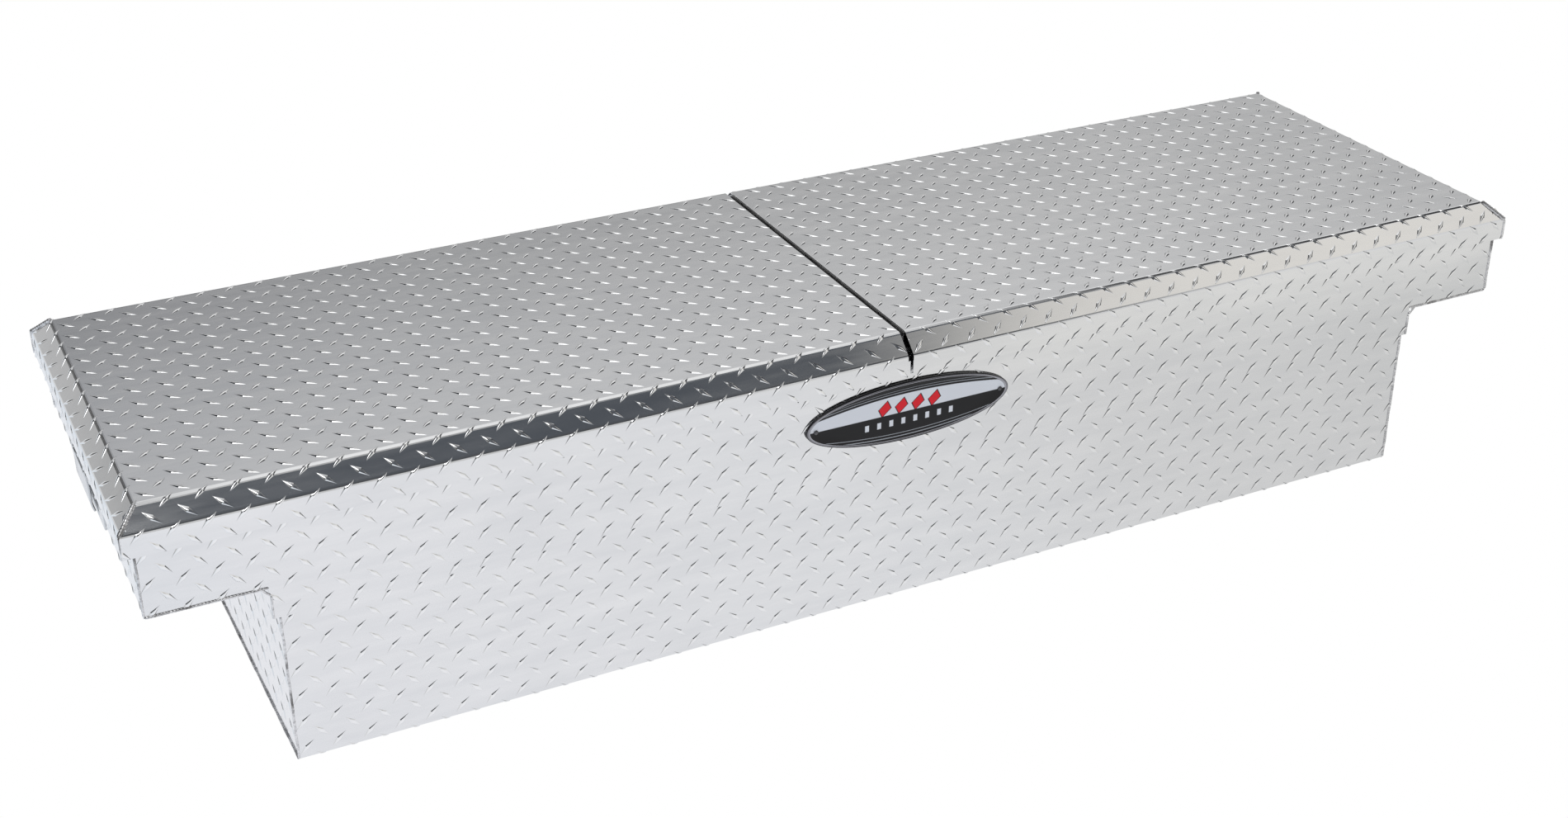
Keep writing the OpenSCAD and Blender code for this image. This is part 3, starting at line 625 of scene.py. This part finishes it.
# ---- Lid skins ----
# One sheet each: a flat top with a chamfer and an upright flange folded down on the front,
# the rear and the outer end, and mitred and welded at the two corners.
lug_in = {"left": (-28.7, 129.3), "right": (-31.7, 126.5)}   # one lug of each, as if on the left
chamfer_w, chamfer_h = 23.0, 22.0
lid_bend = 7.5                      # inside radius of the lids' bends


def turned_field(half, table, phase):
    """The top's pattern carried on down an end section to its hem: laid out with the length
    along the section as its first coordinate, and then turned so that u is -Y."""
    points, *rest = tread_field((table[0][0], -half), (table[0][-2], half), phase)
    return cut((points[:, [1, 0, 2]] * (-1, 1, 1), *rest), 1, *table[0][1:-2])


def lid_skin(side, sign):
    """Main panel folded front to back, and end panel folded at the outer end, both laid out
    flat from one pattern so that the lugs run on over the bends. Both lids are made as the
    left one, and the right one is then mirrored."""
    low, high = span(side + "_lid_skin")
    half, top, hem = high[1], high[2], low[2]
    shoulder = top - chamfer_h
    far, near = max(abs(low[0]), abs(high[0])), min(abs(low[0]), abs(high[0]))
    main = fold_table([(-half, hem), (-half, shoulder), (chamfer_w - half, top),
                       (half - chamfer_w, top), (half, shoulder), (half, hem)], lid_bend)
    end = fold_table([(-far, hem), (-far, shoulder), (chamfer_w - far, top), (-near, top)], lid_bend)
    middle = main[0][-1] / 2
    flat_x = end[1][-2][0]          # where the top's flat ends, at the end bend
    lug_x, lug_y = lug_in[side]
    # middles of the bends beside the chamfers, where the mitre starts and ends: a section has
    # its start, and then five lengths for each bend
    b1, c1 = main[0][3], main[0][8]
    b2, c2 = main[0][-1] - b1, main[0][-1] - c1
    corner = far - chamfer_w
    slope = (far - corner) / (c1 - b1)
    field = flat_cut(-far, -near, main, (lug_x, middle + lug_y))
    field = cut(field, 0, flat_x)
    field = cut(field, (1, slope), slope * c1 - corner)
    field = cut(field, (1, -slope), -slope * c2 - corner)
    field = keep(field, lambda u, v: np.where(
        (v > c1) & (v < c2), u > flat_x,
        (u > -corner - slope * np.where(v < middle, c1 - v, v - c2)) | (v < b1) | (v > b2)))
    panel = sheet_metal(field, main, "x")
    # end panel, up to the end of its bend into the top
    e1, e2, e3 = end[0][3], end[0][8], end[0][-2]
    corner = half - chamfer_w
    slope = (half - corner) / (e2 - e1)
    field = turned_field(half, end, (e3 + lug_x - flat_x, lug_y))
    for s in (-1, 1):
        field = cut(field, (s, slope), corner + slope * e2)
        field = cut(field, 0, s * corner)
    field = keep(field, lambda u, v: (np.abs(u) < corner) | (v < e1)
                 | (v < e2) & (np.abs(u) < corner + slope * (e2 - v)))
    skirt = sheet_metal(field, end, "y")
    whole = joined(panel, skirt)
    return whole if sign < 0 else mirrored_x(whole)


for side, sign in LEFT_RIGHT:
    place_piece(side + "_lid_sheet", lid_skin(side, sign), side + "_lid", "tread_plate", tread,
                side + "_lid_skin")


# ---- Weld beads ----
# Rough beads of filler along the outer corners, laid where the folded sheets meet: rippled,
# greyer than the sheet and sooty in places.
bead_r = 1.5
inset = 0.8                         # middle of a bead, inside the corner
notch_round = 9.0                   # leg of the fillet in the corner of the notch


def shell(points, triangles, rounded):
    """A piece from a closed shell, whose triangles are turned outwards by the sign of the
    volume that they hold."""
    a, b, c = points[triangles].transpose(1, 0, 2)
    triangles = triangles if (a * np.cross(b, c)).sum() > 0 else triangles[:, ::-1]
    return points, triangles, np.full(len(triangles), rounded), np.zeros(len(points))


def tube_faces(rings, sides, loop=False):
    """Triangles between the neighbouring rings of a grid of rings by sides; a loop joins the
    last ring to the first."""
    i, j = np.meshgrid(np.arange(rings if loop else rings - 1), np.arange(sides), indexing="ij")
    a, b = i * sides + j, i * sides + (j + 1) % sides
    c, d = (i + 1) % rings * sides + (j + 1) % sides, (i + 1) % rings * sides + j
    return np.stack([a, b, c, a, c, d], axis=-1).reshape(-1, 3)


def capped(grid, rounded=True):
    """A closed shell from a grid of rings, with a point in the middle of each end."""
    rings, sides = grid.shape[:2]
    points = np.vstack([grid.reshape(-1, 3), grid[0].mean(0), grid[-1].mean(0)])
    around, last = np.arange(sides), (rings - 1) * sides
    after = np.roll(around, -1)
    first_end = np.column_stack([after, around, np.full(sides, rings * sides)])
    last_end = np.column_stack([last + around, last + after, np.full(sides, rings * sides + 1)])
    return shell(points, np.vstack([tube_faces(rings, sides), first_end, last_end]), rounded)


def full_turn(count):
    """Equal steps of a full turn, in radians."""
    return 2 * math.pi * np.arange(count) / count


def weld(start, end, seed, radius=bead_r):
    """A bead from start to end: eight-sided rings every 1.1 mm, whose radius is
    r (0.82 + 0.18 |sin|) over each ripple and sinks to nothing at the ends, on a middle line
    that wanders by the sum of two slow waves."""
    start, end = np.array(start, float), np.array(end, float)
    length = np.linalg.norm(end - start)
    forward = (end - start) / length
    one = np.cross(forward, (0.36, 0.48, 0.80))
    one /= np.linalg.norm(one)
    two = np.cross(forward, one)
    t = np.linspace(0, length, int(length / 1.1) + 2)[:, None]
    w = full_turn(8)
    ripple = 0.82 + 0.18 * np.abs(np.sin(math.pi * (t / 3.6 + 0.2 * np.sin(t / 9 + seed))))
    fade = np.clip(np.minimum(t, length - t) / 1.5, 0, 1) ** 0.5
    r = radius * ripple * fade
    wander = 0.18 * np.sin(t / 11 + seed) + 0.12 * np.sin(t / 4.3 + 2 * seed)
    grid = (start + forward * t[..., None] + one * (r * np.cos(w) + wander)[..., None]
            + two * (r * np.sin(w))[..., None])
    return capped(grid)


def weld_material():
    """Aluminium filler: satin, mottled, with dark soot in patches."""
    material, tree = new_material("weld_filler")
    cloud, streak, height = varied(tree, 30.0, 260.0, 1.0)
    colour = ramp(tree, streak, [(0.30, (0.36, 0.36, 0.37)), (0.50, (0.66, 0.66, 0.67)),
                                 (0.68, (0.86, 0.86, 0.87))])
    colour = mix(tree, step(tree, cloud, 0.55, 0.68, 0.0, 0.75), colour, (0.055, 0.050, 0.045, 1))
    surface(tree, colour, step(tree, streak, 0.3, 0.7, 0.42, 0.24), height, 0.5, 0.0005, in_Metallic=1.0)
    return material


filler = weld_material()
wing_x, flange_x, foot_x = end_x - inset, notch_x - inset, tub_x - inset
beads = []
for sx in (-1, 1):
    for sy in (-1, 1):
        wall = sy * (wall_y - inset)
        lower = sy * (tub_y - inset)
        corners = [((wing_x, wall, wing_z + 2), (wing_x, wall, rim_z - 4)),
                   ((notch_x, wall, wing_z + inset), (wing_x, wall, wing_z + inset)),
                   ((flange_x, wall, lap_z), (flange_x, wall, wing_z - notch_round)),
                   ((flange_x, wall, wing_z - notch_round), (flange_x + notch_round, wall, wing_z + inset)),
                   ((foot_x, lower, 3), (foot_x, lower, lap_z))]
        beads += [weld(np.multiply(a, (sx, 1, 1)), np.multiply(b, (sx, 1, 1)), len(beads) + i)
                  for i, (a, b) in enumerate(corners)]
    beads.append(weld((sx * foot_x, -end_y, inset + 0.9), (sx * foot_x, end_y, inset + 0.9), sx))
place_piece("tub_welds", joined(*beads), "tub", "tread_plate", filler)
for side, sign in LEFT_RIGHT:
    low, high = span(side + "_lid_skin")
    far, half, top, hem = max(-low[0], high[0]), high[1], high[2], low[2]
    limit = (far - 0.05, half - 0.05, top - 0.05)
    beads = []
    for sy in (-1, 1):
        foot = (sign * (far - inset), sy * (half - inset), top - chamfer_h - 0.5)
        corner = (sign * (far - chamfer_w - inset), sy * (half - chamfer_w - inset), top - inset)
        beads += [weld(corner, foot, sy, 2.8), weld(foot, (*foot[:2], hem + 1), 3 + sy)]
    # ground flush where a bead would stand out past the lid
    beads = [(np.clip(points, np.negative(limit), limit), *rest) for points, *rest in beads]
    place_piece(side + "_lid_welds", joined(*beads), side + "_lid", "tread_plate", filler)


# ---- Plain metal finishes ----
# The other metal pieces: mill-finish sheet, brushed stainless, zinc plate and chrome. Each is
# a base colour and roughness that follow the mill variation at the finish's own scale.
def metal(name, dark, light, rough, scale, stretch, bump):
    """A metal between two colours and two roughnesses, along streaks of the given scale."""
    material, tree = new_material(name)
    _, streak, height = varied(tree, scale / 8, scale, stretch)
    colour = ramp(tree, height, [(0.32, dark), (0.66, light)])
    surface(tree, colour, step(tree, streak, 0.3, 0.7, *rough), height, bump, 0.0003, in_Metallic=1.0)
    return material


def finish(material, *nodes):
    """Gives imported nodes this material."""
    for name in nodes:
        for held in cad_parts[name].material_slots:
            held.material = material


mill_sheet = metal("mill_sheet", (0.62, 0.625, 0.635), (0.80, 0.80, 0.81), (0.24, 0.40), 70.0, 12.0, 0.15)
hinge_steel = metal("hinge_stainless", (0.50, 0.50, 0.50), (0.66, 0.66, 0.65), (0.20, 0.34), 240.0, 10.0, 0.1)
polished = metal("polished_stainless", (0.56, 0.565, 0.575), (0.68, 0.685, 0.69), (0.10, 0.24), 320.0, 14.0,
                 0.08)
zinc = metal("zinc_plate", (0.44, 0.46, 0.49), (0.66, 0.67, 0.66), (0.26, 0.46), 90.0, 1.0, 0.25)
chrome = metal("chrome", (0.66, 0.66, 0.67), (0.78, 0.78, 0.79), (0.04, 0.10), 400.0, 4.0, 0.03)


def both(*names):
    """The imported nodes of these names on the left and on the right."""
    return [side + "_" + name for side, _ in LEFT_RIGHT for name in names]


finish(mill_sheet, "centre_bridge", "hinge_rib", *both("lid_liner", "lid_ribs"))
finish(hinge_steel, *both("hinge_leaf", "hinge_pin", "lid_leaf"))
finish(zinc, "hinge_rivets", *both("latch_case", "paddle_pin", "paddle_spring", "latch_bolt",
                                   "striker", "strut_lug", "strut_foot"))
finish(chrome, *both("lock_plug", "strut_rod"))


# ---- Rubber, paint and seals ----
# Extruded rubber seals under the lids and in the gap between them, and the gas struts' black
# enamelled tubes.
def coating(name, dark, light, rough, scale, bump, coat):
    """A non-metal with a fine grain: two colours and two roughnesses over one noise."""
    material, tree = new_material(name)
    cloud, streak, height = varied(tree, scale / 6, scale, 1.0)
    colour = ramp(tree, height, [(0.32, dark), (0.68, light)])
    surface(tree, colour, step(tree, cloud, 0.3, 0.7, *rough), streak, bump, 0.0002, in_Coat_Weight=coat)
    return material


rubber = coating("seal_rubber", (0.012, 0.012, 0.013), (0.035, 0.035, 0.037), (0.55, 0.8), 700.0, 0.3, 0.0)
enamel = coating("black_enamel", (0.010, 0.010, 0.011), (0.018, 0.018, 0.02), (0.22, 0.34), 260.0, 0.1, 0.3)
finish(rubber, *both("rim_seal"))
finish(enamel, *both("strut_tube"))


# ---- Centre strip ----
# Black rubber pushed down between the two hinges, with four fine ribs along its top.
strip_low, strip_high = span("centre_gasket")


def ribbed_strip(low, high, ribs):
    """The strip's section carried along Y: flat sides and foot, and a top whose height is the
    strip's less 0.35 mm (1 - |sin|) over the ribs, rounded off at both edges."""
    width = high[0] - low[0]
    x = np.linspace(-width / 2, width / 2, 33)
    edge = np.clip((width / 2 - np.abs(x)) / 0.8, 0, 1)
    z = high[2] - 0.35 * (1 - np.abs(np.sin(ribs * math.pi * (x / width + 0.5)))) - 0.8 * (1 - edge) ** 2
    section = np.vstack([np.column_stack([x, z]), [(width / 2, low[2]), (-width / 2, low[2])]])
    y = np.array([low[1], low[1] + 0.6, high[1] - 0.6, high[1]])
    grow = np.array([0.9, 1.0, 1.0, 0.9])
    middle = np.array([0, (low[2] + high[2]) / 2])
    shaped = middle + (section[None] - middle) * grow[:, None, None]
    return capped(np.insert(shaped, 1, np.broadcast_to(y[:, None], shaped.shape[:2]), axis=2), False)


place_piece("centre_strip", ribbed_strip(strip_low, strip_high, 4), "tub", "seal_rubber", rubber,
            "centre_gasket")


# ---- Latch plates ----
# Pressed stainless plate with a deep finger recess, two ears for the paddle's pin and a
# collar for the lock; four screws hold each pair to the end walls.
recess = (44.0, 24.0, 12.5)         # half width, half height and depth of the finger recess
wall_t = 1.5
slot = (4.0, 11.75, -2.75)          # half width, half height and middle of the arm's slot


def rounded_ring(half_y, half_z, radius, x, middle_z=0.0, per_corner=8):
    """A rounded rectangle in Y and Z at depth x: a quarter circle about each corner's middle."""
    w = np.linspace(0, math.pi / 2, per_corner)
    turns = w[None] + math.pi / 2 * np.arange(4)[:, None]
    at_y = np.array([1, -1, -1, 1])[:, None] * (half_y - radius)
    at_z = np.array([1, 1, -1, -1])[:, None] * (half_z - radius)
    y, z = at_y + radius * np.cos(turns), at_z + radius * np.sin(turns)
    return np.stack([np.full(y.size, x), y.ravel(), z.ravel() + middle_z], -1)


def ring_shell(grid, rounded=False):
    """A shell through a closed run of rings, the last one joined to the first."""
    return shell(grid.reshape(-1, 3), tube_faces(*grid.shape[:2], loop=True), rounded)


def bevelled(outline, low, high, bevel, axis):
    """An outline of two coordinates carried along the third, from low to high, with its ends
    drawn in by a bevel towards its middle."""
    outline = np.array(outline, float)
    middle = outline.mean(0)
    reach = np.linalg.norm(outline - middle, axis=1).max()
    shrink = np.array([1 - bevel / reach, 1, 1, 1 - bevel / reach])
    along = np.array([low, low + bevel, high - bevel, high])
    shaped = middle + (outline[None] - middle) * shrink[:, None, None]
    return capped(np.insert(shaped, axis, np.broadcast_to(along[:, None], shaped.shape[:2]), axis=2), False)


def turned(profile, first, second, axis, sides=40, ring=False):
    """A profile of (place along the axis, radius) turned round a line along X (axis 0) or Y
    (axis 1) through the two other coordinates: a shell with closed ends, or a ring with a bore."""
    along, radius = np.array(profile, float).T
    w = full_turn(sides)
    grid = np.stack([first + radius[:, None] * np.cos(w), second + radius[:, None] * np.sin(w)], -1)
    grid = np.insert(grid, axis, np.broadcast_to(along[:, None], grid.shape[:2]), axis=2)
    return ring_shell(grid, True) if ring else capped(grid)


def arc(cx, cz, r, start, end, count=8):
    """Points of an arc about (cx, cz), between two angles in degrees."""
    w = np.radians(np.linspace(start, end, count))
    return np.column_stack([cx + r * np.cos(w), cz + r * np.sin(w)])


def at_latch(piece, sign):
    """Moves a latch piece from its own frame, X inwards from the end wall, to one end."""
    placed = piece[0] + (-end_x, 0, latch_z), *piece[1:]
    return placed if sign < 0 else mirrored_x(placed)


w, h, deep = recess
# the plate's rim and face, the recess's mouth, wall and floor, the arm's slot, and the back
dish = ring_shell(np.stack([rounded_ring(*ring) for ring in (
    (75, 30, 8, 0.0), (75, 30, 8, -1.1), (74.7, 29.7, 7.8, -1.6), (74.0, 29.0, 7.4, -1.9),
    (72.8, 27.8, 6.6, -2.0), (w + 3.2, h + 3.2, 7.6, -2.0), (w + 2.2, h + 2.2, 6.8, -1.8),
    (w + 0.9, h + 0.9, 5.6, -1.0), (w, h, 5.0, 0.6), (w, h, 5.0, deep - 3.0),
    (w - 0.8, h - 0.8, 4.4, deep - 1.0), (w - 3.0, h - 3.0, 3.4, deep), (*slot[:2], 1.0, deep, slot[2]),
    (*slot[:2], 1.0, deep + wall_t, slot[2]), (w - 1.0, h - 1.0, 4.0, deep + wall_t),
    (w + wall_t, h + wall_t, 6.0, deep - 1.0), (w + wall_t, h + wall_t, 6.0, 0.2),
    (w + 4, h + 4, 7.0, 0.0))]))
ear_outline = np.vstack([[(-1.0, 28.0), (-1.0, 19.0)], arc(-6.2, 22.4, 3.4, -90, -180),
                         arc(-6.2, 24.6, 3.4, 180, 90)])
ears = [bevelled(ear_outline, *sorted((s * 42.5, s * 45.5)), 0.5, 1) for s in (-1, 1)]
lock_y, lock_in, lock_out = 58.0, 6.06, 8.0
collar_profile = [(6, lock_in), (6, lock_out), (-1.6, lock_out), (-2.4, 8.9), (-3.0, 8.8), (-3.9, 8.0),
                  (-4.0, 7.2), (-3.7, 6.4), (-3.2, lock_in)]
latch_plate = joined(dish, *ears, turned(collar_profile, lock_y, 0.0, 0, 48, ring=True))
place_pair("latch_plate", at_latch(latch_plate, -1), "tub", "latch_steel", polished, "latch_dish")


def cross_head(y):
    """A pan-head screw: a domed head with a cross recess, whose ring reaches r (0.42 + 0.58 c)
    where c = |cos 2w|^6 picks the four arms, and a plain shank."""
    t = full_turn(48)
    arms = 1.9 * (0.36 + 0.64 * np.abs(np.cos(2 * t)) ** 6)
    rows = [(5.6, 2.0), (-1.9, 2.0), (-2.0, 3.4), (-2.6, 3.35), (-3.1, 3.0), (-3.5, 2.4), (-3.6, arms),
            (-2.6, 0.8 * arms)]
    return capped(np.stack([np.stack([np.full(t.size, x), y + r * np.cos(t), r * np.sin(t)], -1)
                            for x, r in rows]), False)


screws = [at_latch(cross_head(70.0 * s), sign) for _, sign in LEFT_RIGHT for s in (-1, 1)]
place_piece("latch_screw_set", joined(*screws), "tub", "zinc_fastener", zinc, "latch_screws")


# ---- Paddles ----
# Curved stainless handle on a pin through the ears, with an arm through the recess that
# draws the bolt.
pin_x, pin_z = -6.2, 24.0
paddle_line = [(-6.4, -20.0), (-8.8, -12.0), (-8.8, 12.0), (-9.8, 24.0)]
paddle_half, paddle_t = 42.0, 2.5


def paddle_shell():
    """A thin rounded section carried up the paddle's bent line: across it Y, and through it
    the thickness, along the line's own normal."""
    corners = np.array(paddle_line)
    runs = np.diff(corners, axis=0)
    runs /= np.linalg.norm(runs, axis=1)[:, None]
    track = [corners[0], corners[0] + runs[0] * 0.6]
    for i in (1, 2):
        a, c = corners[i] - runs[i - 1] * 4.5, corners[i] + runs[i] * 4.5
        t = np.linspace(0, 1, 8)[:, None]
        track += list((1 - t) ** 2 * a + 2 * t * (1 - t) * corners[i] + t**2 * c)
    track += [corners[3] - runs[2] * 0.6, corners[3]]
    track = np.array(track)
    forward = np.gradient(track, axis=0)
    forward /= np.linalg.norm(forward, axis=1)[:, None]
    outward = np.column_stack([-forward[:, 1], forward[:, 0]])
    section = rounded_ring(paddle_half, paddle_t / 2, 1.1, 0.0)[:, 1:]
    thin = np.ones(len(track))
    thin[[0, -1]] = 0.55
    through = section[None, :, 1] * thin[:, None] - paddle_t / 2
    x = track[:, :1] + outward[:, :1] * through
    z = track[:, 1:] + outward[:, 1:] * through
    y = section[None, :, 0] * (1 - (1 - thin[:, None]) * 0.02)
    return capped(np.stack([x, np.broadcast_to(y, x.shape), z], -1))


barrel = [(0.0, 2.6), (0.5, 3.4), (1.2, 3.6), (8.8, 3.6), (9.5, 3.4), (10.0, 2.6)]
knuckle_pair = [turned([(s * (32 + a), r) for a, r in barrel], pin_x, pin_z, 1) for s in (-1, 1)]
arm_outline = np.vstack([[(-7.4, 5.0), (-7.4, 1.2)], arc(33.5, 3.4, 2.4, -90, 90)])
arm = bevelled(arm_outline, -2.5, 2.5, 0.6, 1)
cross_pin = turned([(-8, 1.9), (-7.4, 2.5), (7.4, 2.5), (8, 1.9)], 33.5, 3.5, 1, 24)
paddle = joined(paddle_shell(), *knuckle_pair, arm, cross_pin)
place_pair("paddle_handle", at_latch(paddle, -1), "*_paddle", "latch_steel", polished, "paddle")


# ---- Badge ----
# Oval plastic plate on the front, held by two rivets: a gloss black rim with fine silver
# lines, a pale silver upper field with a row of red lozenges, and a black lower field with
# a row of silver dashes. It carries no lettering.
plate_low, plate_high = span("badge_plate")
badge_half_x, badge_half_z = plate_high[0], (plate_high[2] - plate_low[2]) / 2
badge_z, badge_face = (plate_high[2] + plate_low[2]) / 2, plate_low[1]


def oval_plate():
    """Rings of ellipses from the wall outwards over a rounded rim, down into a shallow field
    and on to its middle, which stands out again like a shallow dome."""
    t = full_turn(96)
    rim = [(0.0, 2.6), (0.0, 0.9), (0.35, 0.3), (1.2, 0.0), (4.0, 0.0), (4.6, 0.15), (5.2, 0.45)]
    rows = [(badge_half_x - a, badge_half_z - a, d) for a, d in rim]
    rows += [(share * rows[6][0], share * rows[6][1], 0.45 - 0.35 * (1 - share**2))
             for share in (0.8, 0.6, 0.4, 0.2, 0.05)]
    return capped(np.stack([np.stack([a * np.cos(t), np.full(t.size, badge_face + d),
                                      badge_z + b * np.sin(t)], -1) for a, b, d in rows]))


def badge_material():
    """Gloss plastic coloured by place: the rim's lines follow the ellipse's own radius, the
    fields divide at mid height, and the lozenges and dashes repeat along X."""
    material, tree = new_material("badge_gloss")
    parts = add(tree, "SeparateXYZ", in_0=add(tree, "TexCoord").outputs["Object"])
    x = maths(tree, "DIVIDE", parts.outputs[0], MM)
    z = maths(tree, "SUBTRACT", maths(tree, "DIVIDE", parts.outputs[2], MM), float(badge_z))
    across = maths(tree, "DIVIDE", x, float(badge_half_x))
    upward = maths(tree, "DIVIDE", z, float(badge_half_z))

    def size(value):
        """The value without its sign."""
        return maths(tree, "ABSOLUTE", value)

    def oval(margin):
        """Distance from the middle as a share of the outline drawn in by a margin."""
        squares = [maths(tree, "POWER", maths(tree, "DIVIDE", value, float(half) - margin), 2.0)
                   for value, half in ((x, badge_half_x), (z, badge_half_z))]
        return maths(tree, "SQRT", maths(tree, "ADD", *squares))

    def band(value, low, high, soft):
        """1 between low and high."""
        return product(tree, step(tree, value, low - soft, low + soft),
                       step(tree, value, high + soft, high - soft))

    black, silver, red = (0.010, 0.010, 0.012, 1), (0.84, 0.88, 0.96, 1), (0.85, 0.014, 0.03, 1)
    field = mix(tree, step(tree, z, -0.3, 0.3), black, silver)
    # arches over the pale field, with silver lines along them and, upside down, below
    arch = maths(tree, "ADD", upward, product(tree, across, across, 0.35))
    under = maths(tree, "SUBTRACT", arch, maths(tree, "MULTIPLY", upward, 2.0))
    field = mix(tree, step(tree, arch, 0.60, 0.62), field, black)
    for value, low, high in ((arch, 0.68, 0.70), (arch, 0.76, 0.77), (under, 0.70, 0.72),
                             (under, 0.80, 0.83)):
        field = mix(tree, band(value, low, high, 0.006), field, (0.42, 0.45, 0.50, 1))
    # four leaning lozenges with a black edge
    lozenge_pitch, lozenge_z = 22.0, 9.0
    rise = maths(tree, "SUBTRACT", z, lozenge_z)
    cell = maths(tree, "SUBTRACT", maths(tree, "FRACT", maths(tree, "DIVIDE", x, lozenge_pitch)), 0.5)
    lean = maths(tree, "MULTIPLY_ADD", cell, lozenge_pitch, maths(tree, "MULTIPLY", rise, -0.35))
    lozenge = maths(tree, "ADD", maths(tree, "DIVIDE", size(lean), 8.0),
                    maths(tree, "DIVIDE", size(rise), 9.5))
    row = step(tree, size(x), 2 * lozenge_pitch, 2 * lozenge_pitch - 0.1)
    for outer, inner, colour in ((1.16, 1.10, black), (1.0, 0.94, red)):
        field = mix(tree, product(tree, step(tree, lozenge, outer, inner), row), field, colour)
    # eight dashes
    dash_pitch = 16.0
    dash = product(tree, band(maths(tree, "FRACT", maths(tree, "DIVIDE", x, dash_pitch)), 0.34, 0.66, 0.02),
                   band(z, -15.5, -7.5, 0.3), step(tree, size(x), 4 * dash_pitch, 4 * dash_pitch - 0.1))
    field = mix(tree, dash, field, silver)
    # black rim with two fine grey lines
    field = mix(tree, step(tree, oval(4.6), 0.995, 1.005), field, black)
    for margin, grey in ((3.3, 0.52), (1.9, 0.30)):
        field = mix(tree, band(oval(margin), 0.992, 1.008, 0.003), field, (grey, grey, 1.1 * grey, 1))
    cloud, _, height = varied(tree, 22.0, 500.0, 2.0)
    surface(tree, field, step(tree, cloud, 0.35, 0.65, 0.10, 0.24), height, 0.05, 0.0002,
            in_Specular_IOR_Level=0.28)
    return material


place_piece("badge_oval", oval_plate(), "tub", "badge_black", badge_material(), "badge_plate")
rivet_head = [(2.6, 1.5), (0.0, 1.5), (-0.05, 2.9), (-0.45, 2.8), (-0.85, 2.2), (-1.1, 1.3), (-1.2, 0.5)]
rivet_x = badge_half_x - 12.0
blackened = metal("blackened_steel", (0.06, 0.06, 0.065), (0.16, 0.16, 0.17), (0.22, 0.36), 300.0, 1.0, 0.2)
rivets = [turned([(badge_face + a, r) for a, r in rivet_head], s * rivet_x, badge_z, 1, 28) for s in (-1, 1)]
place_piece("badge_rivet_pair", joined(*rivets), "tub", "zinc_fastener", blackened, "badge_rivets")
